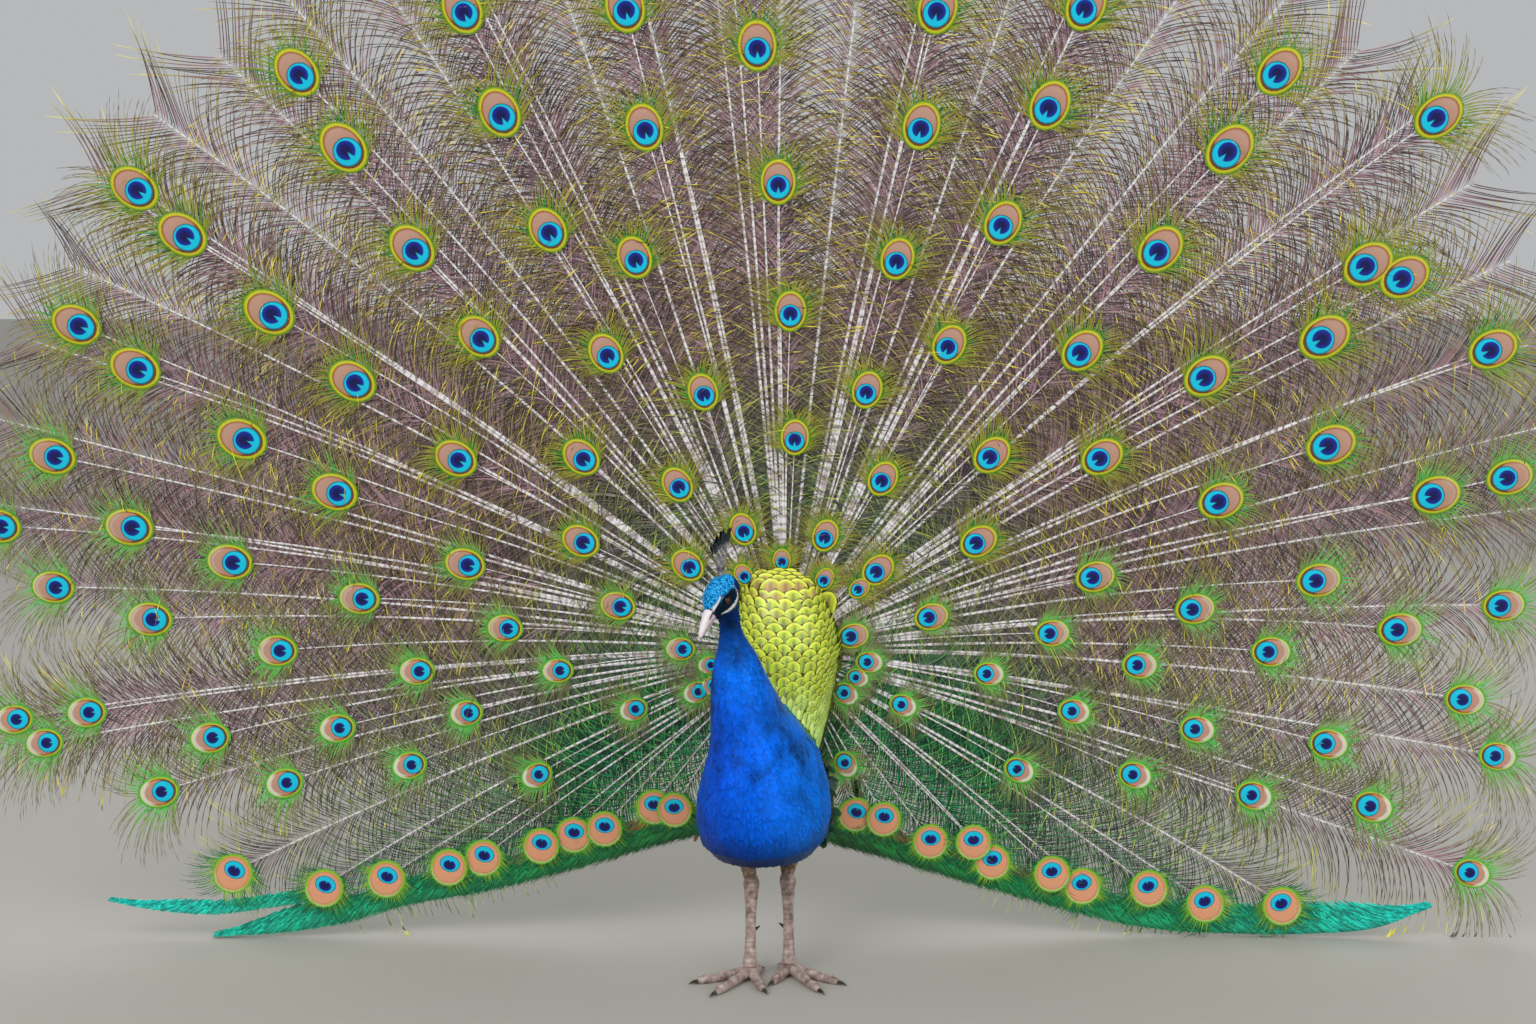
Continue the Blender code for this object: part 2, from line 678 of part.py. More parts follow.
def make_leg(side, sign, foot_xy, hock, hip, toes, trunk_cutter, floor_cutter):
    foot = Vector((*foot_xy, 0.0))
    hock, hip = Vector(hock), Vector(hip)
    ankle = foot + Vector((0, 0.003, 0.021))

    thigh_path = [hock.lerp(hip, s) for s in (0.0, 0.10, 0.22, 0.40, 0.65, 1.0)]
    thigh_radii = [HOCK_RADIUS * 0.95, 0.0118, 0.0140, 0.0160, 0.0195, THIGH_RADIUS]
    thigh = loft("thigh_" + side, tube_rings(thigh_path, thigh_radii, 14), "thigh_buff")
    boolean(thigh, trunk_cutter)

    shares = (-0.06, 0.06, 0.16, 0.32, 0.52, 0.72, 0.88, 1.0)
    radii = (HOCK_RADIUS * 0.70, HOCK_RADIUS * 0.95, 0.0076, 0.0064, 0.0061, 0.0064, 0.0076, 0.0096)
    shank_path = [hock.lerp(ankle, s) for s in shares]
    shank = loft("tarsus_" + side, tube_rings(shank_path, radii, 12, 1.12), "leg_grey")
    boolean(shank, grown(thigh, CUT_GAP))
    shank_cutter = grown(shank, CUT_GAP)

    pad = loft(
        "foot_" + side,
        tube_rings(
            [foot + Vector((0, 0, h)) for h in (-0.002, 0.004, 0.010, 0.016, 0.0215)],
            [0.0125, 0.0138, 0.0128, 0.0108, 0.0096], 14,
        ),
        "leg_grey",
    )
    claws = []
    for toe, heading, length in toes:
        path = toe_path(foot, heading, length, 0.003 if toe == "hind" else 0.007)
        radii = [TOE_RADIUS * (1.12 - 0.30 * i / 6 + 0.05 * math.sin(i * 2.6)) for i in range(7)]
        digit = loft("digit", tube_rings(path, radii, 8), "leg_grey")
        PARTS.objects.unlink(digit)
        hide_cutter(digit)
        boolean(pad, digit, "UNION")
        claws.append((toe, path[-1], heading))
    boolean(pad, floor_cutter)
    boolean(pad, shank_cutter)

    for toe, tip, heading in claws:
        way = Vector((math.sin(math.radians(heading)), -math.cos(math.radians(heading)), 0))
        size = CLAW_LENGTH * (0.75 if toe == "hind" else 1.0)
        path, radii = [], []
        for share in (0.0, 0.35, 0.7, 1.0):
            height = tip.z + 0.0008 * math.sin(share * math.pi) - 0.0022 * share**2
            path.append(Vector((tip.x, tip.y, height)) + way * (2 * GAP + size * share))
            radii.append(0.0030 * (1 - share) ** 0.8 + 0.0004)
        loft(f"claw_{side}_{toe}", tube_rings(path, radii, 7), "claw")

    root = hock.lerp(ankle, 0.62)
    inward = Vector((-sign, 0.9, 0.15)).normalized()
    path = [root + inward * (0.004 + 0.015 * s) + Vector((0, 0, 0.002 * s * s)) for s in (0, 0.35, 0.7, 1.0)]
    spur = loft("spur_" + side, tube_rings(path, [0.0042, 0.0031, 0.0018, 0.0006], 7), "claw")
    boolean(spur, shank_cutter)


# ---- the whole bird ---------------------------------------------------------------------------

clear_scene()
PARTS = make_collection("peacock")
CUTTERS = make_collection("cutters")

body = make_body()
head = make_head()
head_whole = grown(head, CUT_GAP)
make_bill(head_whole)
make_crest(head_whole)
boolean(body["neck_upper"], head_whole)
make_eyes(head)

trunk_whole = grown(body["trunk"], 3 * CUT_GAP)
back_cutters = [grown(body[name], 3 * CUT_GAP) for name in ("neck_lower", "neck_middle")]
back_whole = make_back([trunk_whole, *back_cutters])
behind_train = box_cutter("behind_train", (-0.4, HIND_PLANE, 0.0), (0.4, 0.6, 0.9))
boolean(body["trunk"], behind_train)
make_wings([trunk_whole, back_whole, behind_train])
make_primaries()
make_rump()
make_down()
make_train()
make_tail()

below_floor = box_cutter("below_floor", (-0.5, -0.5, -0.1), (0.5, 0.5, 0.0))
for leg in LEGS:
    make_leg(*leg, trunk_whole, below_floor)

root_empty = bpy.data.objects.new("peacock_origin", None)
PARTS.objects.link(root_empty)
root_empty.location = STANCE
for obj in list(PARTS.objects) + list(CUTTERS.objects):
    if obj is not root_empty:
        obj.parent = root_empty
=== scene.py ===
"""Looks of a displaying peacock (Pavo cristatus, adult male), a life-size still model.

Metres, +Z up; the bird faces -Y, so its left is at +X. Every feather is a small surface worked
out with numpy: a strip, leaf or disc as a function of two parameters, one row of arrays for each
kind of feather. The train's feathers are laid out in the fan's own plane, right and up from the
hub where they come together, and then put on its dished surface.
"""

import json
import math
import bmesh
import bpy
import numpy as np
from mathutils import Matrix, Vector
from mathutils.bvhtree import BVHTree


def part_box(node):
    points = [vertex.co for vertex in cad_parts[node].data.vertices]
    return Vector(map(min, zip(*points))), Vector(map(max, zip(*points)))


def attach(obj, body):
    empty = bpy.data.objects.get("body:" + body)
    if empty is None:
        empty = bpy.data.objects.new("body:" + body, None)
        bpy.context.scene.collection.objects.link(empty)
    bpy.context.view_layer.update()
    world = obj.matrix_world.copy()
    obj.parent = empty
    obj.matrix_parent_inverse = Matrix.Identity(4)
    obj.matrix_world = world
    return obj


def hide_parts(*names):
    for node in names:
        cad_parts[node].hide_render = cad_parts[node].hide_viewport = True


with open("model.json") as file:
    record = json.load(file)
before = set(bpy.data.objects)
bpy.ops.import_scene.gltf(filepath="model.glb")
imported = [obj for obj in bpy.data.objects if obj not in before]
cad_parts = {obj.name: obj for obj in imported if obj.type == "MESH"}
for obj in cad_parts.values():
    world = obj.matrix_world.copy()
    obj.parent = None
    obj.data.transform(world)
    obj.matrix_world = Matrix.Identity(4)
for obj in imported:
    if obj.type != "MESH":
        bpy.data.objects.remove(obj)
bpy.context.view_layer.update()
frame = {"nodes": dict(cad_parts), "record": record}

# ---- places taken from the frame ----


def box_of(*names):
    """Lowest and highest corner of some CAD nodes together, as arrays."""
    corners = np.array([[tuple(c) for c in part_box(name)] for name in names])
    return corners[:, 0].min(0), corners[:, 1].max(0)


RUMP_LOW, RUMP_HIGH = box_of("rump")
HUB = np.array([(RUMP_LOW[0] + RUMP_HIGH[0]) / 2, RUMP_LOW[1], (RUMP_LOW[2] + RUMP_HIGH[2]) / 2])
TRAIN_NODES = [name for name in frame["nodes"] if name.startswith("train_")]
TRAIN_RIM = box_of(*TRAIN_NODES)[1][2] - HUB[2]
MOUNTS = {mount["name"]: mount for mount in frame["record"]["mounts"]}

# ---- driving values ----

RANDOM = np.random.default_rng(7)
PATCH = 0.003                       # side of a feather's patch on the bake map
TRAIN_BACK, TRAIN_FORWARD = 0.060, 0.220   # how the fan dishes: back near the hub, forward at the rim

# Files of eyes on the bird's left and right: the file's angle above the horizon at the hub, how
# many degrees it bends up per metre, and how far each of its eyes stands from the hub.
LEFT_FILES = (
    (84.5, 9, (0.33, 0.52, 0.71, 0.905, 1.10)),
    (69.8, 7.5, (0.19, 0.42, 0.62, 0.815, 0.98, 1.16)),
    (59, 6.5, (0.305, 0.53, 0.725, 0.905, 1.05, 1.20)),
    (40, 9.5, (0.19, 0.435, 0.64, 0.825, 0.995, 1.12)),
    (27, 9, (0.34, 0.565, 0.76)),
    (34, 0.5, (1.04,)),
    (38, 2, (1.235,)),
    (24, 7.5, (0.935, 1.075)),
    (12.5, 10, (0.107, 0.70, 0.88, 1.145)),
    (13.5, 0.5, (0.23, 0.487, 1.01, 1.12)),
    (0, 9.5, (0.41, 0.63, 0.82)),
    (-8.5, 11.3, (0.545, 0.745, 0.94, 1.095)),
    (-7.5, 3.3, (0.13, 0.315, 1.045)),
    (-14.5, 5.5, (0.455, 0.647, 0.85, 1.107)),
    (-27.5, 13.3, (0.20, 0.575, 0.76, 0.94)),
    (-32.6, 13, (0.407, 1.118)),
    (-35, 0, (0.114,)),
    (-62, 0, (0.20,)),
)
RIGHT_FILES = (
    (70, 6.5, (0.20, 0.417, 0.815, 0.985, 1.16)),
    (69.5, 0, (0.64,)),
    (55, 8.5, (0.305, 0.53, 0.73, 0.91, 1.06, 1.19)),
    (40, 9.7, (0.20, 0.43, 0.665, 0.825, 0.995, 1.115)),
    (25.5, 9.3, (0.355, 0.58, 0.77, 0.925, 1.087, 1.177)),
    (10.5, 13, (0.725, 0.88, 1.06, 1.16)),
    (15.5, 0, (0.265, 0.506, 1.138)),
    (0, 11, (0.43, 0.655, 0.855, 1.01)),
    (9.5, 0, (1.20,)),
    (1.5, 0, (0.16,)),
    (-12, 15.5, (0.566, 0.778, 0.97, 1.115)),
    (-5, 0, (0.35, 1.075, 1.185)),
    (-14.5, 6.5, (0.50, 0.70, 0.895, 1.145)),
    (-24.2, 11.5, (0.25, 0.607, 0.80, 0.99)),
    (-27, 0, (0.43,)),
    (-25, 0, (0.15,)),
)
# Small half-formed eyes that stand round the back's scales: angle and reach.
INNER_EYES = ((92, 0.142), (118, 0.135), (41, 0.15), (-20, 0.118), (190, 0.118), (205, 0.125),
              (62, 0.128))
# The lowest row on each side: place along X away from the hub, height over the green edge's lower line.
LOW_LEFT = ((0.109, 0.06), (0.152, 0.066), (0.225, 0.05), (0.291, 0.07), (0.321, 0.046), (0.413, 0.055),
            (0.461, 0.047), (0.563, 0.069), (0.652, 0.051), (0.769, 0.052))
LOW_RIGHT = ((0.17, 0.055), (0.202, 0.066), (0.278, 0.054), (0.326, 0.057), (0.376, 0.055),
             (0.466, 0.057), (0.519, 0.054), (0.617, 0.053), (0.712, 0.066), (0.853, 0.102))
# The dense green edge under the lowest row: place along X away from the hub, height of its lower line.
EDGE_LEFT = ((0.06, 0.15), (0.179, 0.117), (0.272, 0.089), (0.413, 0.048), (0.569, 0.01), (0.7, 0.002),
             (0.82, 0.003), (0.93, 0.017), (1.0, 0.05))
EDGE_RIGHT = ((0.090, 0.170), (0.225, 0.136), (0.349, 0.100), (0.474, 0.068), (0.599, 0.045),
              (0.708, 0.016), (0.80, 0.003), (0.85, 0.002), (0.885, 0.002))
EDGE_RIGHT_UPPER = ((0.70, 0.060), (0.80, 0.046), (0.895, 0.036), (0.98, 0.045), (1.045, 0.062))
# The green edge's bands: side, lower line, height and layers of barbs in front of the backing sheet.
EDGE_BANDS = ((1, EDGE_LEFT, 0.060, 5), (-1, EDGE_RIGHT, 0.060, 5), (-1, EDGE_RIGHT_UPPER, 0.030, 4))
REAR_LAYERS = 2
SHEET_ROWS, SHEET_COLUMNS = 60, 4

FORKS, FORK_REACH = 27, 1.215       # feathers with a forked tip round the fan's rim
LAYER_DEPTH = 0.0065                # how much further back the longest feathers lie
SHAFT_START = 0.030                 # how far from the hub the shafts begin
BARB_SPACING = 0.0056
BARB_WIDTH, FRINGE_WIDTH, EDGE_BARB_WIDTH, INNER_BARB_WIDTH = 0.0020, 0.0014, 0.0019, 0.0017
BARB_POINTS = 12
BARB_PIECES = 6
EYE_PIECES = 3
EYE_STRETCH, LOW_EYE_STRETCH = 1.27, 1.03   # how much longer an eye is than wide
FRINGE_BARBS = 96                   # barbs in the fringe of one eye
INNER_BARBS = 9000

TAIL_BEHIND = 0.026                 # how far the tail stands behind the train
COAT_DEPTH, HEAD_COAT_DEPTH = 0.0036, 0.0016
HEAD_REACH, NECK_REACH = 0.036, 0.085   # how far the head and neck feathers reach from the head
BREAST_END = 0.17                   # height at which the breast's feathers end
SKIN_VOXEL, SKIN_ROUNDS = 0.0030, 22   # fineness of the even skin and how often it is smoothed
COVER_VOXEL, COVER_ROUNDS = 0.004, 10
FLESH_GROWTH = 0.0008               # how far nodes are grown so that they run together
FLESH = ("trunk", "neck_lower", "neck_middle", "neck_upper", "head", "back", "rump", "thigh_left",
         "thigh_right")
BODY_AXIS = (HUB[0] - 0.046, HUB[1] - 0.205)   # the upright line round which the coat is unrolled
THIGH_TOP = 0.178                   # below this the thighs' buff feathers begin

HEAD_PITCH = math.radians(42)       # how far the bill points down
EYE_AHEAD, EYE_UP, EYE_RADIUS = 0.0070, 0.0050, 0.0058
BILL_ROOT, BILL_TIP = 0.020, 0.067
CREST_ROOT, CREST_LENGTH, CREST_SPREAD = (-0.019, 0.0, 0.0195), 0.060, math.radians(16)
# Face marks in the head's side plane, ahead and up from the eye.
STRIPE = ((0.030, -0.001), (0.017, 0.0055), (0.004, 0.0110))
CRESCENT = ((-0.022, 0.005), (-0.0195, -0.005), (-0.014, -0.0115), (-0.003, -0.0138), (0.008, -0.0122),
            (0.017, -0.009))
LORES = ((0.030, -0.012), (0.014, -0.004), (0.000, 0.000), (-0.010, -0.001))
TOE_RADIUS = 0.0064
LEG_PLATES, TOE_PLATE = 17, 0.0048  # plates down a shank, and length of one on a toe
# A shank's radius at shares of the way from hock to ankle.
SHANK_RADII = ((-0.10, 0.0003), (-0.085, 0.0060), (-0.045, 0.0095), (0.0, 0.0115), (0.12, 0.0102),
               (0.3, 0.0082), (0.55, 0.0075), (0.75, 0.0079), (0.9, 0.0094), (1.0, 0.0116))
PAD = (0.0142, 0.0135, 0.0098)      # half-sizes of the pad in the middle of a foot
SCALE_SIZES = 0.0072, 0.0310        # width of the back's lowest scales, and what the top ones add

# ---- making meshes ----


def add_piece(name, points, faces, material, replaced=(), facts=None, bake=None):
    """A mesh object at the origin from arrays: points (n, 3) and a list of face arrays (m, 3 or 4).
    facts maps an attribute's name to its values per point, bake is a bake map place per point."""
    faces = faces if isinstance(faces, list) else [faces]
    faces = [np.asarray(f, np.int64) for f in faces if len(f)]
    mesh = bpy.data.meshes.new(name)
    points = np.asarray(points, np.float32).reshape(-1, 3)
    corners = np.concatenate([f.ravel() for f in faces])
    sizes = np.concatenate([np.full(len(f), f.shape[1]) for f in faces])
    mesh.vertices.add(len(points))
    mesh.vertices.foreach_set("co", points.ravel())
    mesh.loops.add(len(corners))
    mesh.loops.foreach_set("vertex_index", corners.astype(np.int32))
    mesh.polygons.add(len(sizes))
    mesh.polygons.foreach_set("loop_start", (np.cumsum(sizes) - sizes).astype(np.int32))
    mesh.update(calc_edges=True)
    mesh.validate()
    for key, values in (facts or {}).items():
        values = np.asarray(values, np.float32)
        kind = "FLOAT" if values.ndim == 1 else "FLOAT_VECTOR"
        attribute = mesh.attributes.new(key, kind, "POINT")
        attribute.data.foreach_set("value" if kind == "FLOAT" else "vector", values.ravel())
    if bake is not None:
        layer = mesh.uv_layers.new(name="OFBake")
        layer.data.foreach_set("uv", np.asarray(bake, np.float32)[corners].ravel())
    mesh.shade_smooth()
    mesh.materials.append(material)
    piece = bpy.data.objects.new(name, mesh)
    bpy.context.scene.collection.objects.link(piece)
    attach(piece, "root")
    if replaced:
        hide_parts(*replaced)
    return piece


def together(*parts):
    """Arrays stretched to one shape and put side by side on a new last axis."""
    return np.stack(np.broadcast_arrays(*parts), -1)


def grid_faces(rows, columns, closed=False):
    """Four-cornered faces of a grid of rows x columns points, closed round its columns or not."""
    across = columns if closed else columns - 1
    r, c = np.meshgrid(np.arange(rows - 1), np.arange(across), indexing="ij")
    d = (c + 1) % columns
    corners = together(r * columns + c, r * columns + d, (r + 1) * columns + d, (r + 1) * columns + c)
    return corners.reshape(-1, 4)


def end_faces(rows, columns):
    """Three-cornered faces that close both ends of a grid of rows x columns points, closed round."""
    k = np.arange(1, columns - 1)
    last = (rows - 1) * columns
    first_end = together(np.zeros_like(k), k + 1, k)
    last_end = last + together(np.zeros_like(k), k, k + 1)
    return np.concatenate([first_end, last_end])


def repeated(faces, copies, points_each):
    """The faces of one shape, for as many copies of it as there are."""
    return (faces[None] + (np.arange(copies) * points_each)[:, None, None]).reshape(-1, faces.shape[1])


def strip_faces(points):
    """Three-cornered faces of a zigzag strip of as many points, all turned the same way."""
    first = np.arange(points - 2)
    swap = first % 2
    return together(first, first + 1 + swap, first + 2 - swap)


def unit(vectors):
    """Vectors brought to length one."""
    return vectors / np.maximum(np.linalg.norm(vectors, axis=-1, keepdims=True), 1e-9)


def circle(steps):
    """As many angles, evenly spaced round a circle."""
    return 2 * np.pi * np.arange(steps) / steps


def left_of(way):
    """Directions in the fan's plane a quarter turn to the left of these."""
    return together(-way[..., 1], way[..., 0])


def smooth_step(t):
    """Nought up to 0, one from 1 on, and t x t x (3 - 2 x t) between."""
    t = np.clip(t, 0, 1)
    return t * t * (3 - 2 * t)


def curve_at(rows, at):
    """The second column of rows at these values of the first, on a smooth curve through them."""
    keys, values = np.array(rows, float).T
    slopes = np.gradient(values, keys)
    at = np.clip(at, keys[0], keys[-1])
    i = np.clip(np.searchsorted(keys, at) - 1, 0, len(keys) - 2)
    span = keys[i + 1] - keys[i]
    t = (at - keys[i]) / span
    return (
        (2 * t**3 - 3 * t**2 + 1) * values[i] + (t**3 - 2 * t**2 + t) * slopes[i] * span
        + (3 * t**2 - 2 * t**3) * values[i + 1] + (t**3 - t**2) * slopes[i + 1] * span
    )


# ---- making materials ----


class Wire:
    """A number or a colour on its way from node to node of a finish. Sums, differences, products
    and powers of wires and numbers are Math nodes."""

    def __init__(self, finish, socket):
        self.finish, self.socket = finish, socket

    def __add__(self, other):
        return self.finish.math("ADD", self, other)

    def __radd__(self, other):
        return self.finish.math("ADD", other, self)

    def __sub__(self, other):
        return self.finish.math("SUBTRACT", self, other)

    def __rsub__(self, other):
        return self.finish.math("SUBTRACT", other, self)

    def __mul__(self, other):
        return self.finish.math("MULTIPLY", self, other)

    def __pow__(self, power):
        return self.finish.math("POWER", self, power)

    def __abs__(self):
        return self.finish.math("ABSOLUTE", self)

    def root(self):
        """The square root."""
        return self.finish.math("SQRT", self)

    def sine(self):
        """The sine of the value in radians."""
        return self.finish.math("SINE", self)

    def at_least(self, other):
        """The larger of the two."""
        return self.finish.math("MAXIMUM", self, other)

    def step(self, edge, soft):
        """Nought below the edge and one above it, over a soft width."""
        sockets = {"Value": self, "From Min": edge - soft / 2, "From Max": edge + soft / 2}
        return self.finish.node("MapRange", sockets, interpolation_type="SMOOTHSTEP")

    def ramp(self, stops):
        """A colour that runs through the stops, each a value and its colour."""
        wire = self.finish.node("ValToRGB", {0: self})
        elements = wire.socket.node.color_ramp.elements
        while len(elements) < len(stops):
            elements.new(1.0)
        for element, (position, colour) in zip(elements, stops):
            element.position = position
            element.color = (*colour, 1.0)
        return wire


class Finish:
    """A procedural material: a Principled shader and short calls for the nodes that feed it."""

    def __init__(self, name, roughness=0.5, **sockets):
        """Constant shader values are given by socket name, with low lines for spaces."""
        self.material = bpy.data.materials.new(name)
        self.material.use_nodes = True
        self.nodes = self.material.node_tree.nodes
        self.links = self.material.node_tree.links
        self.shader = self.nodes["Principled BSDF"]
        self.shader.inputs["Roughness"].default_value = roughness
        for socket, value in sockets.items():
            self.shader.inputs[socket.replace("_", " ")].default_value = value

    def put(self, socket, value):
        """Set a socket to a wire, a colour or a number."""
        if isinstance(value, Wire):
            self.links.new(value.socket, socket)
        else:
            socket.default_value = (*value, 1.0) if isinstance(value, tuple) else value

    def node(self, kind, sockets, output=0, **settings):
        """A wire from a new shader node, with these settings and values at its sockets."""
        node = self.nodes.new("ShaderNode" + kind)
        for key, value in settings.items():
            setattr(node, key, value)
        for key, value in sockets.items():
            self.put(node.inputs[key], value)
        return Wire(self, node.outputs[output])

    def math(self, operation, *values):
        """One Math node on one or two values."""
        return self.node("Math", dict(enumerate(values)), operation=operation)

    def fact(self, name, output="Fac"):
        """An attribute of the piece's points."""
        return self.node("Attribute", {}, output, attribute_name=name)

    def facts(self, *names):
        """Several attributes at once."""
        return [self.fact(name) for name in names]

    def parts(self, vector):
        """The three numbers of a vector."""
        node = self.node("SeparateXYZ", {0: vector}).socket.node
        return [Wire(self, socket) for socket in node.outputs]

    def place(self):
        """Where a point is, in metres from the object's origin."""
        return self.node("TexCoord", {}, "Object")

    def noise(self, scale, detail=3.0):
        """Cloudy variation, with as many waves a metre as scale."""
        return self.node("TexNoise", {"Scale": scale, "Detail": detail, "Vector": self.place()}, "Fac")

    def cells(self, scale):
        """Distance to the middle of the nearest of many random cells."""
        return self.node("TexVoronoi", {"Scale": scale, "Vector": self.place()}, "Distance")

    def mix(self, share, a, b):
        """Colour a where share is nought and b where it is one."""
        return self.node("Mix", {0: share, 6: a, 7: b}, 2, data_type="RGBA")

    def multiplied(self, a, b):
        """Two colours multiplied, each by its own red, green and blue."""
        return self.node("VectorMath", {0: a, 1: b}, operation="MULTIPLY")

    def scaled(self, colour, share):
        """A colour made lighter or darker by a share."""
        return self.node("VectorMath", {0: colour, "Scale": share}, operation="SCALE")

    def colour(self, value):
        """Give the shader this base colour, and return the finish."""
        self.put(self.shader.inputs["Base Color"], value)
        return self

    def bump(self, height, strength, distance):
        """Raise the surface by a height."""
        sockets = {"Strength": strength, "Distance": distance, "Height": height}
        self.put(self.shader.inputs["Normal"], self.node("Bump", sockets))


def srgb(*everyday):
    """A colour's red, green and blue in everyday 0-255 values, as the shader's linear ones."""
    return tuple(((v / 255 + 0.055) / 1.055) ** 2.4 if v > 10 else v / 3294.6 for v in everyday)


def grey(value):
    """A grey in the shader's linear values."""
    return (value,) * 3


# ---- the train's plan ----


def fan_place(right, up, lift):
    """Points of the train, given right and up from the hub in the fan's own plane: they stand on
    the dished surface y = hub + back x share - forward x share^2 x (0.35 + 0.65 x rise), where
    share is the reach over the rim's and rise the angle's sine, and lift moves them back."""
    reach = np.hypot(right, up)
    share = reach / TRAIN_RIM
    rise = np.maximum(up, 0) / np.maximum(reach, 1e-6)
    depth = HUB[1] + TRAIN_BACK * share - TRAIN_FORWARD * share**2 * (0.35 + 0.65 * rise) + lift
    return together(HUB[0] + right, depth, np.maximum(HUB[2] + up, 0.0015))


def edge_height(outline, out):
    """Height above the hub of the green edge's lower line, this far out."""
    return curve_at(outline, out) - HUB[2]


def eye_half_width(turn, reach):
    """Eyes grow with reach up to nearly a metre, and are smaller low in the fan and right on top."""
    rise = math.sin(math.radians(turn))
    low, top = smooth_step((0.45 - rise) / 0.65), smooth_step((rise - 0.75) / 0.2)
    far = smooth_step((reach - 0.95) / 0.2)
    return (0.0185 + 0.0120 * min(reach, 0.95)) * (1 - 0.20 * low - 0.07 * top - 0.08 * far)


def train_plan():
    """Every train feather as arrays: angle in radians, reach of its eye, half-width of the eye,
    its kind: 0 an upper feather, 1 one of the lowest row, 2 a feather with a forked tip, and how
    far the eye's own axis turns from the shaft's."""
    rows = []
    for sign, files in ((1, LEFT_FILES), (-1, RIGHT_FILES)):
        for angle, bend, reaches in files:
            for reach in reaches:
                turn = angle + bend * reach
                rows.append((turn if sign > 0 else 180 - turn, reach, eye_half_width(turn, reach), 0, 0))
    rows += [(angle, reach, 0.0135, 0, 0) for angle, reach in INNER_EYES]
    for sign, places, outline in ((1, LOW_LEFT, EDGE_LEFT), (-1, LOW_RIGHT, EDGE_RIGHT)):
        for out, above in places:
            up = float(edge_height(outline, np.array(out))) + above
            angle = math.degrees(math.atan2(up, sign * out))
            rows.append((angle, math.hypot(out, up), 0.0245 + 0.0050 * out, 1, -40 * sign))
    for k in range(FORKS):
        angle = 8 + 164 * (k + 0.5) / FORKS
        rows.append((angle, FORK_REACH + 0.012 * math.sin(k * 2.1), 0.0, 2, 0))
    plan = np.array(sorted(rows, key=lambda row: row[1]), float)
    return {"turn": np.radians(plan[:, 0]), "reach": plan[:, 1], "eye": plan[:, 2], "kind": plan[:, 3],
            "eye_turn": np.radians(plan[:, 0] + plan[:, 4])}


PLAN = train_plan()
PLAN_COUNT = len(PLAN["turn"])
# Longer feathers stand a little behind shorter ones.
PLAN["layer"] = LAYER_DEPTH * (PLAN["reach"] / TRAIN_RIM - 0.55)
PLAN["way"] = together(np.cos(PLAN["turn"]), np.sin(PLAN["turn"]))
PLAN["eye_way"] = together(np.cos(PLAN["eye_turn"]), np.sin(PLAN["eye_turn"]))
# Each shaft sags a little between hub and eye, the more the flatter it lies.
SWERVE = RANDOM.normal(0, 0.006, PLAN_COUNT)
PLAN["sag"] = 0.018 * PLAN["way"][:, 0] * PLAN["reach"] + SWERVE * PLAN["reach"]


def shaft_place(feather, station):
    """Place and heading in the fan's plane, at this distance along these feathers' shafts: a
    straight line from the hub, bowed sideways by sag x 4 x share x (1 - share)."""
    way = PLAN["way"][feather]
    side = left_of(way)
    reach = PLAN["reach"][feather]
    share = station / reach
    bow = PLAN["sag"][feather] * 4 * share * (1 - share)
    slope = PLAN["sag"][feather] * 4 * (1 - 2 * share) / reach
    place = way * station[..., None] + side * bow[..., None]
    return place, unit(way + side * slope[..., None])


def barb_strips(start, heading, bend, length, width, lift, curl):
    """Barbs as tapering zigzag strips in the fan's plane: from start the direction turns evenly
    from heading by bend, so the middle line is the integral of (cos, sin) of the turning angle.
    The strip is width x (1 - along)^0.6 wide, and curl x along^2 off the surface."""
    along = np.linspace(0, 1, BARB_POINTS)[None]
    bend = np.where(np.abs(bend) < 1e-3, 1e-3, bend)[:, None]
    turn = heading[:, None] + bend * along
    right = (np.sin(turn) - np.sin(heading)[:, None]) / bend * length[:, None]
    up = (np.cos(heading)[:, None] - np.cos(turn)) / bend * length[:, None]
    side = np.where(np.arange(BARB_POINTS) % 2 == 0, 0.5, -0.5)[None]
    half = side * width[:, None] * (1 - along) ** 0.6
    right = start[:, :1] + right - np.sin(turn) * half
    up = start[:, 1:] + up + np.cos(turn) * half
    return fan_place(right, up, lift[:, None] + curl[:, None] * along**2)


def add_strips(name, strips, material, root, facts, replaced=()):
    """One piece from many barbs. root is each barb's place on the bake map, and facts its numbers."""
    count, points = strips.shape[:2]
    along = np.broadcast_to(np.linspace(0, 1, points), (count, points))
    across = np.broadcast_to(np.arange(points) % 2, (count, points))
    bake = root[:, None] + PATCH * together(across - 0.5, along - 0.5)
    values = {key: np.repeat(value, points) for key, value in facts.items()}
    values["along"] = along.ravel()
    faces = repeated(strip_faces(points), count, points)
    return add_piece(name, strips, faces, material, replaced, facts=values,
                     bake=bake.reshape(-1, 2))


# ---- the train's finishes ----


def barb_finish():
    """Loose barbs: mauve-brown at the shaft, olive and gold towards the tip, greener low in the fan."""
    finish = Finish("loose_barb", 0.42, Specular_IOR_Level=0.45)
    along, green, chance = finish.facts("along", "green", "chance")
    reach = along + (chance - 0.5) * 0.35
    warm = reach.ramp(((0.0, srgb(186, 150, 164)), (0.24, srgb(146, 110, 122)),
                       (0.62, srgb(120, 94, 88)), (0.88, srgb(154, 142, 56)), (1.0, srgb(214, 198, 60))))
    cool = reach.ramp(((0.0, srgb(8, 108, 76)), (0.35, srgb(10, 112, 66)), (0.7, srgb(56, 142, 68)),
                       (1.0, srgb(124, 174, 84))))
    shade = 0.17 + chance ** 1.6 * 1.75
    colour = finish.mix(green, warm, cool)
    return finish.colour(finish.scaled(colour, shade)).material


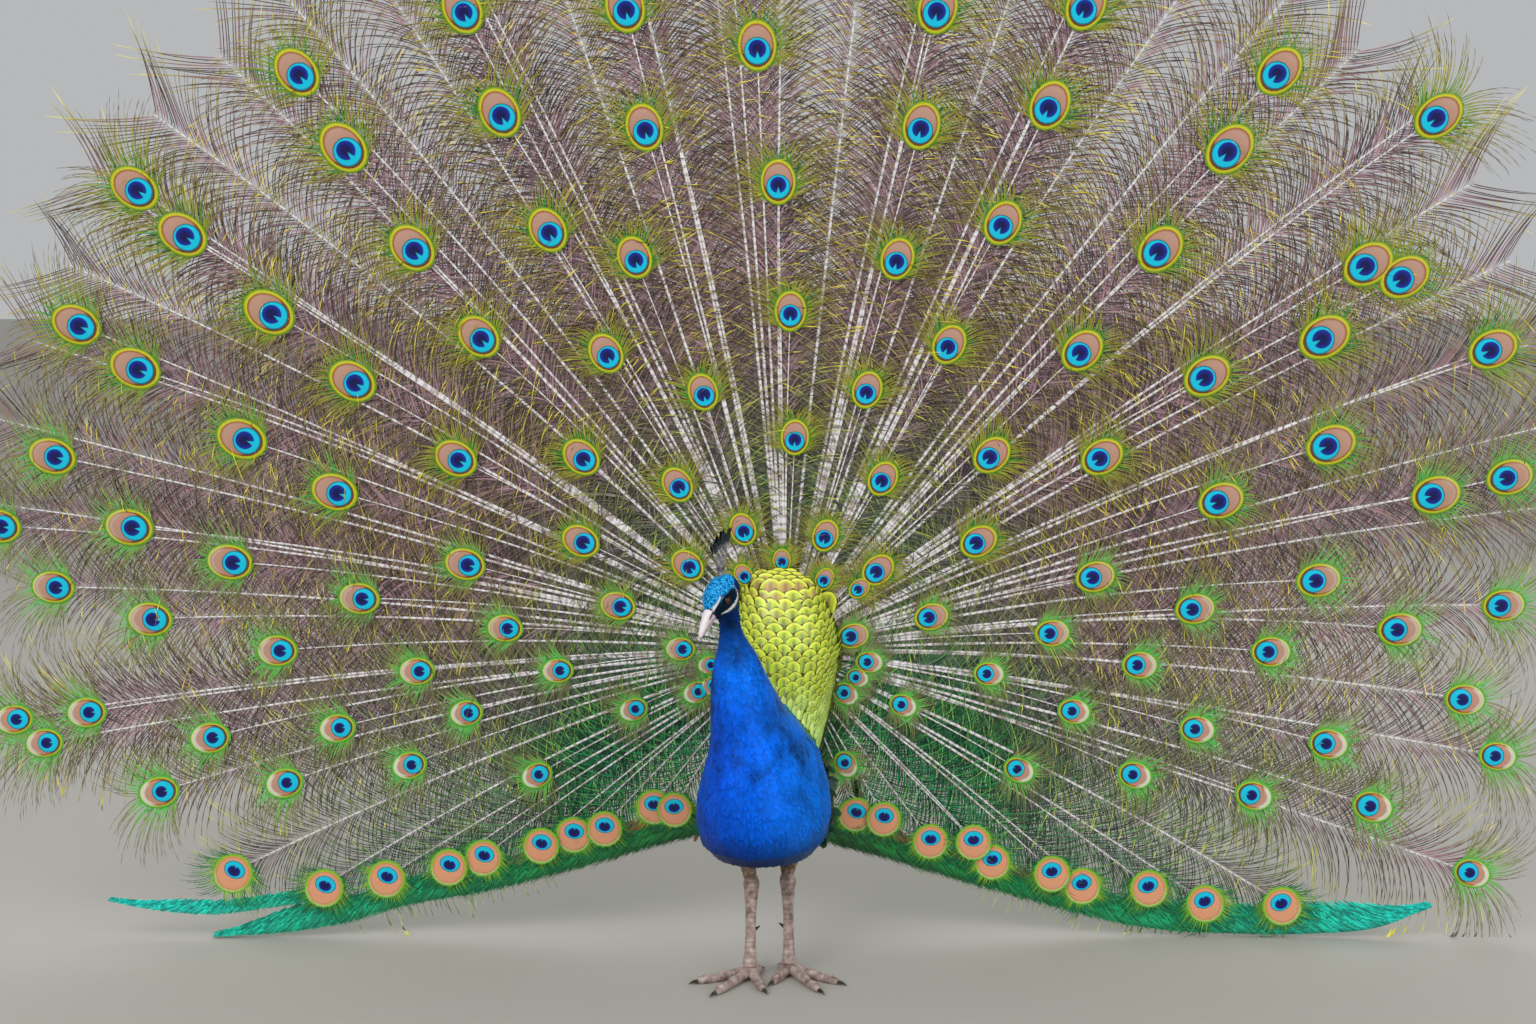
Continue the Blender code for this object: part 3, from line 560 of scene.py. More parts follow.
def shaft_finish():
    """Bare shafts: ivory, with rose-brown dashes: the barbs' bases and their painted shadows."""
    finish = Finish("feather_shaft", 0.38, Specular_IOR_Level=0.5)
    tone = finish.noise(55.0, 2.0)
    colour = tone.ramp(((0.3, srgb(200, 182, 182)), (0.46, srgb(242, 237, 238)),
                        (0.7, (0.97, 0.96, 0.96))))
    wave = (finish.fact("metres") * 560.0 + finish.noise(20.0) * 9.0).sine()
    # Dashes: the bases of the barbs, and painted shadow of the barbs that cross the shaft.
    barb_base_and_shadow = wave.step(0.45, 0.5) * 0.42
    return finish.colour(finish.mix(barb_base_and_shadow, colour, srgb(128, 92, 88))).material


def eye_finish():
    """The eye of a train feather, worked out from the place on the disc in half-widths: rings of
    green, gold and brown round a copper oval, and towards the hub a cyan disc that holds a
    notched dark blue one."""
    finish = Finish("feather_eye", 0.36, Specular_IOR_Level=0.35, Coat_Weight=0.08, Coat_Roughness=0.3)
    across, out, pale = finish.parts(finish.fact("eye_place", "Vector"))
    grain = (finish.noise(420.0, 2.0) - 0.5) * 0.055
    low_row = finish.fact("low_row")

    def distance(shift):
        """How far a place is from a centre that lies this far from the disc's own."""
        down = out * EYE_STRETCH - shift
        return (across * across + down * down).root()

    round_ = (across * across + out * out).root()
    frayed = grain * (1.0 + low_row * 2.6)
    ring = round_ - low_row * 0.02 + frayed
    smaller = 1.0 + low_row * 0.22
    disc = (distance(-0.29) + grain) * smaller
    pupil = distance(-0.19) * smaller
    # The notch is a wedge that opens from near the pupil's middle towards the hub.
    tip_of_notch = 0.25 + pale.at_least(low_row) * 0.06
    wedge = abs(across) + (out + tip_of_notch) * 0.42
    copper = finish.mix(pale, srgb(186, 138, 108), srgb(216, 142, 102))
    copper = finish.mix(low_row, copper, srgb(236, 166, 126))
    single = 1.0 - low_row
    far_side = (out + grain).step(0.25, 1.3) * single
    copper = finish.mix(far_side, copper, srgb(196, 154, 136))
    tip = out.step(0.35, 0.6) * (pale * 0.8)
    gold = finish.mix(tip, finish.mix(low_row, srgb(206, 204, 30), srgb(176, 192, 40)),
                      srgb(236, 242, 190))
    outline = ring.step(0.8, 0.1) * (1.0 - low_row * 0.65)
    colour = finish.mix(outline, copper, srgb(166, 104, 50))
    cream = out.step(0.4, 0.4) * pale * single
    colour = finish.mix(cream * ring.step(0.72, 0.1), colour, srgb(226, 228, 206))
    rust = (ring - out).step(1.02, 0.3) * single
    colour = finish.mix(rust, colour, srgb(116, 62, 26))
    colour = finish.mix(ring.step(0.885, 0.04), colour, gold)
    rim = finish.mix(pale.at_least(low_row), srgb(104, 150, 26), srgb(92, 186, 62))
    wider = ring + pale * 0.05
    colour = finish.mix(wider.step(1.0, 0.1), colour, rim)
    colour = finish.mix(disc.step(0.715, 0.05), srgb(10, 110, 130), colour)
    colour = finish.mix(disc.step(0.655, 0.05), srgb(0, 206, 238), colour)
    narrowed = pupil + pale * 0.1
    dark = (1.0 - narrowed.step(0.475, 0.05)) * wedge.step(0.0, 0.06)
    blue = finish.mix(pupil.step(0.32, 0.3), srgb(4, 8, 84), srgb(4, 42, 160))
    return finish.colour(finish.mix(dark, colour, blue)).material


# ---- the train's feathers ----


def greenness(place, turn):
    """How green the barbs are: all green near the hub's lower sides and low down, none on top."""
    reach = np.hypot(place[:, 0], place[:, 1])
    low = smooth_step((0.12 - np.sin(turn)) / 0.85)
    near = smooth_step((0.50 - reach) / 0.36)
    return np.clip(0.05 + 0.95 * near * (0.5 + 0.5 * low)
                   + 0.75 * low * smooth_step((1.15 - reach) / 0.6), 0, 1)


def make_barbs():
    """Two rows of barbs along every shaft, from near the hub to the eye."""
    finish = barb_finish()
    reach = PLAN["reach"]
    first = np.minimum(0.05 + 0.10 * reach * smooth_step(np.sin(PLAN["turn"]) + 0.3), reach * 0.6)
    counts = np.maximum(((reach - first) / BARB_SPACING).astype(int), 4)
    counts[PLAN["kind"] == 2] += 8
    feather = np.repeat(np.arange(PLAN_COUNT), counts * 2)
    rank = np.concatenate([np.arange(2 * n) for n in counts])
    number, side = rank // 2, np.where(rank % 2 == 0, 1.0, -1.0)
    total = len(feather)
    share = np.clip((number + RANDOM.uniform(-0.25, 0.25, total)) / counts[feather], 0, 1)
    station = first[feather] + (reach - first)[feather] * share
    place, way = shaft_place(feather, station)
    shaft_turn = np.arctan2(way[:, 1], way[:, 0])
    chance = RANDOM.uniform(0, 1, total)
    left = reach[feather] - station
    forked = (PLAN["kind"][feather] == 2) * smooth_step((0.10 - left) / 0.08)
    length = (0.055 + 0.098 * smooth_step(station / 0.60)) * (0.72 + 0.45 * chance)
    length *= 0.52 + 0.48 * smooth_step((left + 0.1 * forked) / 0.15)
    sway = np.sin(station * 21 + feather * 1.7 + side)
    sway += 0.6 * np.sin(station * 57 + feather * 2.9 - side)
    open_ = np.radians(23 + 13 * smooth_step(left / 0.25) + 22 * forked + 3 * sway
                       + RANDOM.normal(0, 0.9, total))
    bend = np.radians(46 + 12 * smooth_step(left / 0.3) - 62 * forked + 8 * sway
                      + RANDOM.normal(0, 3, total))
    heading = shaft_turn + side * open_
    lift = PLAN["layer"][feather] + 0.0012 + RANDOM.normal(0, 0.0012, total)
    curl = RANDOM.normal(0, 0.006, total)
    width = np.full(total, BARB_WIDTH) * (0.8 + 0.4 * chance)
    strips = barb_strips(place, heading, side * bend, length, width, lift, curl)
    green = greenness(place, PLAN["turn"][feather])
    for k in range(BARB_PIECES):
        mine = feather % BARB_PIECES == k
        order = feather[mine] // BARB_PIECES
        columns = PLAN_COUNT // BARB_PIECES + 1
        root = together((order + 0.5 + 0.22 * side[mine]) / columns,
                        0.01 + 0.98 * number[mine] / counts.max())
        stands_for = TRAIN_NODES if k == 0 else ()
        add_strips(f"train_barbs_{k + 1}", strips[mine], finish, root,
                   {"green": green[mine], "chance": chance[mine]}, stands_for)


def make_shafts():
    """Shafts as five-sided tubes carried along the shaft lines, thinning from hub to eye."""
    stations, sides = 13, 5
    along = np.linspace(0, 1, stations)
    feather = np.repeat(np.arange(PLAN_COUNT), stations).reshape(PLAN_COUNT, stations)
    station = SHAFT_START + (PLAN["reach"][:, None] - SHAFT_START) * along
    place, way = shaft_place(feather, station)
    radius = (0.0014 + 0.0021 * np.minimum(PLAN["reach"], 1.0))[:, None] * (1 - 0.68 * along)
    turn = circle(sides)
    across = np.cos(turn)[None, None, :, None] * radius[..., None, None]
    side = left_of(way)
    flat = place[:, :, None] + side[:, :, None] * across
    depth = PLAN["layer"][:, None, None] - 0.0012 + np.sin(turn) * radius[..., None]
    points = fan_place(flat[..., 0], flat[..., 1], depth)
    faces = [repeated(shape[:, ::-1], PLAN_COUNT, stations * sides)
             for shape in (grid_faces(stations, sides, closed=True), end_faces(stations, sides))]
    bake = together(((np.arange(PLAN_COUNT) + 0.2)[:, None, None] + 0.6 * np.arange(sides) / sides)
                    / PLAN_COUNT, 0.01 + 0.98 * along[None, :, None])
    add_piece("train_shafts", points, faces, shaft_finish(), bake=bake.reshape(-1, 2),
              facts={"metres": np.repeat(station.ravel(), sides)})


def make_eyes_of_train():
    """The eyes: domed discs, oval along the shaft, with a saw-toothed rim."""
    finish = eye_finish()
    eyed = np.flatnonzero(PLAN["eye"] > 0)
    rings, spokes = 6, 36
    share = np.array([0.30, 0.52, 0.72, 0.88, 1.0, 1.07])
    turn = circle(spokes)
    across = np.concatenate([[0.0], (share[:, None] * np.cos(turn)).ravel()])
    out = np.concatenate([[0.0], (share[:, None] * np.sin(turn)).ravel()])
    level = np.concatenate([[0.0], np.repeat(share, spokes)])
    tooth = np.concatenate([np.ones(1 + (rings - 1) * spokes), 0.985 + 0.05 * (np.arange(spokes) % 2)])
    across, out = across * tooth, out * tooth
    way = PLAN["eye_way"][eyed]
    side = left_of(way)
    size = PLAN["eye"][eyed][:, None, None]
    low_row = PLAN["kind"][eyed] == 1
    middle = PLAN["way"][eyed] * PLAN["reach"][eyed][:, None]
    stretch = np.where(low_row, LOW_EYE_STRETCH, EYE_STRETCH)[:, None, None]
    flat = side[:, None] * across[:, None] + way[:, None] * out[:, None] * stretch
    flat = middle[:, None] + size * flat
    out_rank = np.argsort(np.argsort(PLAN["way"][eyed, 0] * PLAN["reach"][eyed] + 9 * ~low_row))
    ahead = 0.0045 + (0.0115 + 0.0060 * (out_rank % 2)) * low_row
    bulge = np.where(low_row, 0.04, 0.12)[:, None] * size[..., 0]
    dome = -ahead[:, None] - bulge * (1 - np.minimum(level, 1.1) ** 2) + PLAN["layer"][eyed][:, None]
    points = fan_place(flat[..., 0], flat[..., 1], dome)
    ring = 1 + grid_faces(rings, spokes, closed=True)
    hub = together(np.zeros(spokes, int), 1 + (np.arange(spokes) + 1) % spokes, 1 + np.arange(spokes))
    pale = smooth_step((0.45 - np.sin(PLAN["turn"][eyed])) / 0.8)
    pale = np.where(low_row, 0.45, pale)
    each = len(level)
    for k in range(EYE_PIECES):
        mine = np.arange(len(eyed)) % EYE_PIECES == k
        count = int(mine.sum())
        cells = math.ceil(math.sqrt(count))
        cell = together(np.arange(count) % cells, np.arange(count) // cells) + 0.5
        spot = together(across, out) * 0.4
        bake = (cell[:, None] + spot[None]) / cells
        facts = {"eye_place": together(np.tile(across, count), np.tile(out, count),
                                       np.repeat(pale[mine], each)),
                 "low_row": np.repeat(low_row[mine] * 1.0, each)}
        add_piece(f"train_eyes_{k + 1}", points[mine],
                  [repeated(ring, count, each), repeated(hub, count, each)],
                  finish, facts=facts, bake=bake.reshape(-1, 2))


def fringe_finish():
    """Loose barbs of the eyes: gold green round the upper ones, leaf green round those at the
    sides, and emerald in the lowest row, all duller towards their tips."""
    finish = Finish("eye_fringe", 0.42)
    along, chance = finish.facts("along", "chance")
    tone = along + (chance - 0.5) * 0.6
    loose = tone.ramp(((0.0, srgb(60, 132, 30)), (0.18, srgb(156, 164, 22)), (0.42, srgb(172, 160, 38)),
                       (0.72, srgb(124, 114, 44)), (1.0, srgb(92, 74, 60))))
    leafy = tone.ramp(((0.0, srgb(84, 206, 84)), (0.13, srgb(124, 204, 92)), (0.28, srgb(136, 160, 86)),
                       (0.6, srgb(126, 124, 90)), (1.0, srgb(116, 104, 92))))
    close = tone.ramp(((0.0, srgb(170, 196, 40)), (0.3, srgb(84, 170, 50)), (0.6, srgb(12, 128, 78)),
                       (1.0, srgb(4, 100, 74))))
    around = finish.mix(finish.fact("green"), loose, leafy)
    return finish.colour(finish.mix(finish.fact("low_row"), around, close)).material


def make_fringes():
    """The loose fringe round each eye: barbs that leave its rim, leaning towards the feather's tip."""
    eyed = np.flatnonzero(PLAN["eye"] > 0)
    each = FRINGE_BARBS
    feather = np.repeat(eyed, each)
    total = len(feather)
    spoke = np.tile((np.arange(each) + 0.5) / each * 2 - 1, len(eyed))
    spoke = spoke + RANDOM.uniform(-0.008, 0.008, total)
    turn = spoke * np.pi
    way = PLAN["eye_way"][feather]
    side = left_of(way)
    size = PLAN["eye"][feather][:, None]
    rim = 0.93
    low_row = PLAN["kind"][feather] == 1
    stretch = np.where(low_row, LOW_EYE_STRETCH, EYE_STRETCH)
    start = PLAN["way"][feather] * PLAN["reach"][feather][:, None] + size * rim * (
        way * (stretch * np.cos(turn))[:, None] + side * np.sin(turn)[:, None])
    lean = np.sign(spoke) * np.abs(spoke) ** 0.75 * np.radians(66)
    heading = PLAN["eye_turn"][feather] + lean + RANDOM.normal(0, 0.05, total)
    bend = np.sign(spoke) * np.radians(46) + RANDOM.normal(0, 0.10, total)
    long_ = 0.044 + 0.044 * np.sin(np.pi * np.abs(spoke)) + 0.026 * RANDOM.uniform(0, 1, total)
    length = long_ * (0.40 + 0.75 * PLAN["reach"][feather]) * (0.7 + 0.3 * RANDOM.uniform(0, 1, total))
    length *= np.where(low_row, 0.52, 1.0)
    width = np.full(total, FRINGE_WIDTH)
    lift = PLAN["layer"][feather] - 0.0028 - 0.0125 * low_row
    strips = barb_strips(start, heading, bend, length, width, lift, RANDOM.normal(0.001, 0.003, total))
    rank = np.tile(np.arange(each), len(eyed))
    order = np.repeat(np.arange(len(eyed)), each)
    root = together((order + 0.5) / len(eyed), (rank + 0.5) / each)
    add_strips("train_fringes", strips, fringe_finish(), root,
               {"chance": RANDOM.uniform(0, 1, total), "low_row": low_row * 1.0,
                "green": 0.12 + 0.80 * smooth_step((0.62 - np.sin(PLAN["turn"][feather])) / 0.55)})


# ---- the green edge of the train ----


def edge_finish():
    """Green near the body and teal far out, with painted shade where the barbs end near the body, and a
    copper upper fringe there."""
    finish = Finish("green_edge", 0.36, Specular_IOR_Level=0.6)
    along, out, chance, high = finish.facts("along", "out", "chance", "high")
    teal = out.ramp(((0.05, srgb(16, 110, 36)), (0.35, srgb(4, 140, 66)), (0.65, srgb(6, 166, 110)),
                     (0.85, srgb(8, 196, 166)), (1.0, srgb(20, 214, 200))))
    copper = along.ramp(((0.0, srgb(190, 112, 60)), (0.6, srgb(168, 126, 40)), (1.0, srgb(96, 132, 36))))
    colour = finish.mix(high * (1.0 - out.step(0.42, 0.35)), teal, copper)
    # Painted shade at the barbs' lower ends near the body.
    painted_shade_foot = (1.0 - out) * along**2.0
    shade = (0.38 + chance**1.4 * 1.40) * (1.0 - painted_shade_foot * 0.6)
    return finish.colour(finish.scaled(colour, shade)).material


def band_height(outline, tall, places):
    """How tall a band is at places along it: it falls off outwards, and at its ends."""
    low, high = outline[0][0], outline[-1][0]
    ends = smooth_step((high + 0.006 - places) / 0.12)
    if low > 0.3:
        ends = ends * smooth_step((places - low) / 0.06)
    return tall * (1.0 - 0.35 * (places - 0.06)) * (0.18 + 0.82 * ends)


def edge_barbs(band, layer):
    """One layer of a band's barbs, with their bake map places and numbers: each leaves a point
    above the lower line and sweeps down to it. Layers past the band's own lie behind its sheet."""
    sign, outline, tall, layers = EDGE_BANDS[band]
    low, high = outline[0][0], outline[-1][0]
    rear = layer >= layers
    count = int((high - low) / (0.0011 if rear else 0.00075))
    places = low + (high - low) * (np.arange(count) + RANDOM.uniform(0, 1, count)) / count
    foot = edge_height(outline, places)
    slope = np.arctan2(edge_height(outline, places + 0.004) - foot, 0.004)
    share = 0.55 + 0.35 * (layer - layers) if rear else 0.45 + 0.62 * layer / (layers - 1)
    height = band_height(outline, tall, places) * share * RANDOM.uniform(0.8, 1.15, count)
    angle = slope - np.radians(40) + RANDOM.normal(0, 0.10, count)
    length = height / np.maximum(np.sin(slope - angle), 0.3) * RANDOM.uniform(0.55, 1.0, count)
    start = together(sign * (places - height * 0.7), foot + height)
    heading = angle if sign > 0 else np.pi - angle
    bend = sign * np.radians(14) + RANDOM.normal(0, 0.08, count)
    lift = -0.0030 + 0.0018 * (layer - layers) if rear else -0.0125 + 0.0018 * layer
    curl = RANDOM.normal(0.0020 if rear else -0.0015, 0.0015, count)
    width = np.full(count, EDGE_BARB_WIDTH)
    strips = barb_strips(start, heading, bend, length, width, np.full(count, lift), curl)
    root = together(0.02 + 0.96 * places / 1.1, (band * 7 + layer + 0.5) / 21)
    facts = {"out": places, "chance": RANDOM.uniform(0, 1, count),
             "high": np.full(count, float(layers - 2 <= layer < layers))}
    return strips, root, facts


def edge_sheet(band):
    """The thin sheet that backs a band: points, how far out each is, and faces."""
    sign, outline, tall, _ = EDGE_BANDS[band]
    places = np.linspace(outline[0][0], outline[-1][0], SHEET_ROWS)[:, None]
    rise = np.linspace(0.04, 0.80, SHEET_COLUMNS)[None] * band_height(outline, tall, places)
    up = edge_height(outline, places) + rise
    out = np.broadcast_to(places, up.shape)
    points = fan_place(sign * out, up, np.full(up.shape, -0.0045)).reshape(-1, 3)
    faces = band * SHEET_ROWS * SHEET_COLUMNS + grid_faces(SHEET_ROWS, SHEET_COLUMNS)
    return points, out.ravel(), faces if sign > 0 else faces[:, ::-1]


def make_green_edge():
    """The dense green vanes along the train's foot: layers of close barbs over thin sheets."""
    material = edge_finish()
    layers_of = {"green_edge": [], "green_edge_rear": []}
    for band, (_, _, _, layers) in enumerate(EDGE_BANDS):
        for layer in range(layers + REAR_LAYERS):
            name = "green_edge_rear" if layer >= layers else "green_edge"
            layers_of[name].append(edge_barbs(band, layer))
    for name, rows in layers_of.items():
        strips, roots, facts = zip(*rows)
        facts = {key: np.concatenate([each[key] for each in facts]) for key in facts[0]}
        add_strips(name, np.concatenate(strips), material, np.concatenate(roots), facts)
    points, out, faces = map(np.concatenate, zip(*map(edge_sheet, range(len(EDGE_BANDS)))))
    count = len(out)
    facts = {"out": out, "along": np.full(count, 0.7), "chance": np.full(count, 0.3),
             "high": np.zeros(count)}
    bake = together(0.02 + 0.9 * out / 1.1, 0.1 + 0.8 * np.arange(count) / count)
    add_piece("green_edge_backing", points, faces, material, facts=facts, bake=bake)


def make_inner_green():
    """The close emerald barbs beside the body, low in the fan: they leave short lines that run out
    from the hub and lean away from them on both sides."""
    finish = Finish("inner_green", 0.38, Specular_IOR_Level=0.6)
    along, chance = finish.facts("along", "chance")
    colour = along.ramp(((0.0, srgb(0, 84, 48)), (0.5, srgb(2, 120, 66)), (1.0, srgb(30, 140, 60))))
    shade = 0.25 + chance ** 1.4 * 1.2
    finish.colour(finish.scaled(colour, shade))
    count = INNER_BARBS
    side = np.where(np.arange(count) % 2 == 0, 1.0, -1.0)
    turn = np.radians(RANDOM.uniform(-36, 24, count))
    low = smooth_step((np.radians(12) - turn) / 0.6)
    reach = 0.05 + 0.40 * RANDOM.uniform(0, 1, count) ** 0.8 * (0.55 + 0.45 * low)
    start = reach[:, None] * together(side * np.cos(turn), np.sin(turn))
    lean = np.where(RANDOM.uniform(0, 1, count) < 0.5, 1.0, -1.0)
    shaft = np.where(side > 0, turn, np.pi - turn)
    heading = shaft + lean * np.radians(30) + RANDOM.normal(0, 0.15, count)
    strips = barb_strips(start, heading, lean * np.radians(34) + RANDOM.normal(0, 0.2, count),
                         0.045 + 0.045 * RANDOM.uniform(0, 1, count), np.full(count, INNER_BARB_WIDTH),
                         0.002 + RANDOM.uniform(0, 0.010, count), RANDOM.normal(0, 0.003, count))
    root = together(0.5 + 0.49 * start[:, 0] / 0.46, 0.5 + 0.49 * start[:, 1] / 0.46)
    add_strips("inner_green_barbs", strips, finish.material, root,
               {"chance": RANDOM.uniform(0, 1, count)})


# ---- the head's own frame ----

EYE_LEFT, EYE_RIGHT = (np.mean([tuple(c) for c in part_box(f"eye_{side}")], axis=0)
                       for side in ("left", "right"))
HEAD_LEFT = unit(EYE_LEFT - EYE_RIGHT)
HEAD_AHEAD = np.array([HEAD_LEFT[1], -HEAD_LEFT[0], 0.0]) * math.cos(HEAD_PITCH)
HEAD_AHEAD[2] = -math.sin(HEAD_PITCH)
HEAD_UP = np.cross(HEAD_AHEAD, HEAD_LEFT)
HEAD_AXES = np.stack([HEAD_AHEAD, HEAD_LEFT, HEAD_UP])
HEAD_MIDDLE = (EYE_LEFT + EYE_RIGHT) / 2 - HEAD_AHEAD * EYE_AHEAD - HEAD_UP * EYE_UP


def from_head(ahead, side, up):
    """World points from places ahead, to the left and up in the head's frame."""
    return HEAD_MIDDLE + together(ahead, side, up) @ HEAD_AXES


def to_head(points):
    """Places ahead, to the left and up in the head's frame, from world points."""
    return (points - HEAD_MIDDLE) @ HEAD_AXES.T


def line_distance(points, line):
    """Shortest distance from plane points (n, 2) to a line through a few corners, and how far
    along the line that is, from 0 to 1."""
    line = np.array(line, float)
    best = np.full(len(points), 1e9)
    share = np.zeros(len(points))
    for k in range(len(line) - 1):
        run = line[k + 1] - line[k]
        t = np.clip((points - line[k]) @ run / (run @ run), 0, 1)
        away = np.linalg.norm(points - line[k] - t[:, None] * run, axis=1)
        nearer = away < best
        best = np.where(nearer, away, best)
        share = np.where(nearer, (k + t) / (len(line) - 1), share)
    return best, share


def face_marks(points):
    """How white and how dark the face is at world points: a white stripe runs from the gape up to
    before the eye, a white crescent from behind the eye round below it, and the lores, the eye's
    surround and the cheek between them are nearly black."""
    ahead, side, up = to_head(points).T
    flat = together(ahead - EYE_AHEAD, up - EYE_UP)
    beside = smooth_step((np.abs(side) - 0.004) / 0.004)
    stripe, along_stripe = line_distance(flat, STRIPE)
    crescent, along_crescent = line_distance(flat, CRESCENT)
    stripe_half = 0.0019 - 0.0010 * along_stripe
    crescent_half = 0.0006 + 0.0029 * np.sin(np.pi * np.clip(along_crescent, 0.04, 0.96) ** 0.8) ** 0.8
    white = np.maximum(smooth_step((stripe_half + 0.0005 - stripe) / 0.0008),
                       smooth_step((crescent_half + 0.0005 - crescent) / 0.0008)) * beside
    patch, _ = line_distance(flat, LORES)
    dark = smooth_step((0.0120 - patch) / 0.005)
    return white, dark * (1 - white)


# ---- skin ----


def merged_copy(names):
    """One mesh from copies of CAD nodes, each merged and moved out along its normals."""
    build = bmesh.new()
    for name in names:
        piece = bmesh.new()
        piece.from_mesh(frame["nodes"][name].data)
        bmesh.ops.remove_doubles(piece, verts=piece.verts, dist=1e-5)
        piece.normal_update()
        for vertex, normal in [(v, v.normal.copy()) for v in piece.verts]:
            vertex.co += normal * FLESH_GROWTH
        mesh = bpy.data.meshes.new("copy")
        piece.to_mesh(mesh)
        piece.free()
        build.from_mesh(mesh)
        bpy.data.meshes.remove(mesh)
    mesh = bpy.data.meshes.new("flesh")
    build.to_mesh(mesh)
    build.free()
    return mesh


def remeshed(names, voxel, rounds):
    """One closed even surface round some CAD nodes, smoothed as many rounds: a bmesh."""
    carrier = bpy.data.objects.new("flesh", merged_copy(names))
    bpy.context.scene.collection.objects.link(carrier)
    remesh = carrier.modifiers.new("even", "REMESH")
    remesh.mode = "VOXEL"
    remesh.voxel_size = voxel
    soften = carrier.modifiers.new("soften", "SMOOTH")
    soften.factor = 0.5
    soften.iterations = rounds
    bpy.context.view_layer.update()
    graph = bpy.context.evaluated_depsgraph_get()
    mesh = bpy.data.meshes.new_from_object(carrier.evaluated_get(graph))
    build = bmesh.new()
    build.from_mesh(mesh)
    bpy.data.objects.remove(carrier)
    bpy.data.meshes.remove(mesh)
    return build


def arrays_of(build):
    """Points, normals and three-cornered faces of a bmesh."""
    build.verts.ensure_lookup_table()
    build.normal_update()
    points = np.array([v.co[:] for v in build.verts])
    normals = np.array([v.normal[:] for v in build.verts])
    faces = np.array([[v.index for v in f.verts] for f in build.faces if len(f.verts) == 3], int)
    return points, normals, faces


def refine(build, centre, radius):
    """Halve the edges round a centre."""
    near = {v for v in build.verts if (v.co - centre).length < radius}
    edges = [e for e in build.edges if e.verts[0] in near and e.verts[1] in near]
    bmesh.ops.subdivide_edges(build, edges=edges, cuts=1, use_grid_fill=True)


def move_to(build, points):
    """Give a bmesh's points new places."""
    for vertex, point in zip(build.verts, points):
        vertex.co = point


def model_face(points, normals):
    """The face: hollow sockets, lids that close on the eyeballs, a brow over each, full cheeks and
    raised white marks. Every feature is a bump or hollow by distance in the head's side plane."""
    ahead, side, up = to_head(points).T
    forward, rise = ahead - EYE_AHEAD, up - EYE_UP
    reach = np.linalg.norm(to_head(points), axis=1)
    near = smooth_step((0.052 - reach) / 0.010) * smooth_step((np.abs(side) - 0.004) / 0.006)
    white, _ = face_marks(points)
    brow = 0.0014 * np.exp(-(((rise - 0.0086) / 0.0028) ** 2) - (forward / 0.010) ** 2)
    socket = -0.0020 * np.exp(-((forward**2 + rise**2) / 0.0085**2))
    cheek = 0.0012 * np.exp(-(((rise + 0.015) / 0.006) ** 2) - ((forward + 0.004) / 0.012) ** 2)
    points = points + normals * ((brow + socket + cheek + 0.0006 * white) * near)[:, None]
    for centre, sign in ((EYE_LEFT, 1), (EYE_RIGHT, -1)):
        away = points - centre
        local = away @ HEAD_AXES.T
        distance = np.linalg.norm(away, axis=1)
        ring = np.hypot(local[:, 0] / 1.15, local[:, 2] / 0.90)
        inside = smooth_step((0.0041 - ring) / 0.0005)
        lid = 0.0005 * np.exp(-(((ring - 0.0047) / 0.0006) ** 2))
        target = EYE_RADIUS * (1.08 - 0.40 * inside) + lid
        near = (sign * local[:, 1] > -0.001) & (distance < 0.02)
        blend = np.where(near, smooth_step((0.0092 - ring) / 0.0034), 0.0)
        moved = centre + away / np.maximum(distance, 1e-6)[:, None] * target[:, None]
        points = points + (moved - points) * blend[:, None]
    return points


def back_nearness(points):
    """Nearly one beside the gold scales of the back and nought a finger's width away."""
    corners = [v.co[:] for v in frame["nodes"]["back"].data.vertices]
    back = np.unique(np.array(corners).round(4), axis=0)
    rim = back[back[:, 1] < back[:, 1].max() - 0.01]
    nearest = np.full(len(points), 1e9)
    for chunk in np.array_split(rim, max(1, len(rim) // 40)):
        nearest = np.minimum(nearest, np.linalg.norm(points[:, None] - chunk[None], axis=-1).min(1))
    return smooth_step((0.020 - nearest) / 0.016)


def solid_tree(name):
    """A CAD node's surface, ready to look up the nearest place on it."""
    mesh = frame["nodes"][name].data
    places = [v.co for v in mesh.vertices]
    return BVHTree.FromPolygons(places, [p.vertices[:] for p in mesh.polygons])


def body_margin(places):
    """How much nearer places are to trunk, neck or head than to the raised back."""
    away = {}
    for name in ("back", "trunk", "neck_lower", "neck_middle", "neck_upper", "head"):
        tree = solid_tree(name)
        away[name] = np.array([tree.find_nearest(Vector(p))[3] for p in places])
    return away.pop("back") - np.min(list(away.values()), axis=0)


def unwrap(points):
    """The skin unrolled round the body's upright axis: the turn goes across and the height up."""
    turn = np.arctan2(points[:, 1] - BODY_AXIS[1], points[:, 0] - BODY_AXIS[0]) / (2 * np.pi) + 0.5
    return together(0.01 + 0.98 * turn, 0.01 + 0.98 * np.clip((points[:, 2] - 0.12) / 0.5, 0, 1))


def plumage_facts(points):
    """The markings of skin and coat at world points, as attributes."""
    white, dark = face_marks(points)
    reach = np.linalg.norm(to_head(points), axis=1)
    above = to_head(points)[:, 2] - EYE_UP - 0.25 * np.maximum(-to_head(points)[:, 0] - 0.01, 0)
    crown = smooth_step((0.050 - reach) / 0.010) * smooth_step((above - 0.0005) / 0.005)
    return {
        "white": white, "dark": dark, "crown": crown,
        "thigh": smooth_step((THIGH_TOP - points[:, 2]) / 0.010), "teal": back_nearness(points),
        "gold": smooth_step((0.0005 - body_margin(points)) / 0.002),
    }


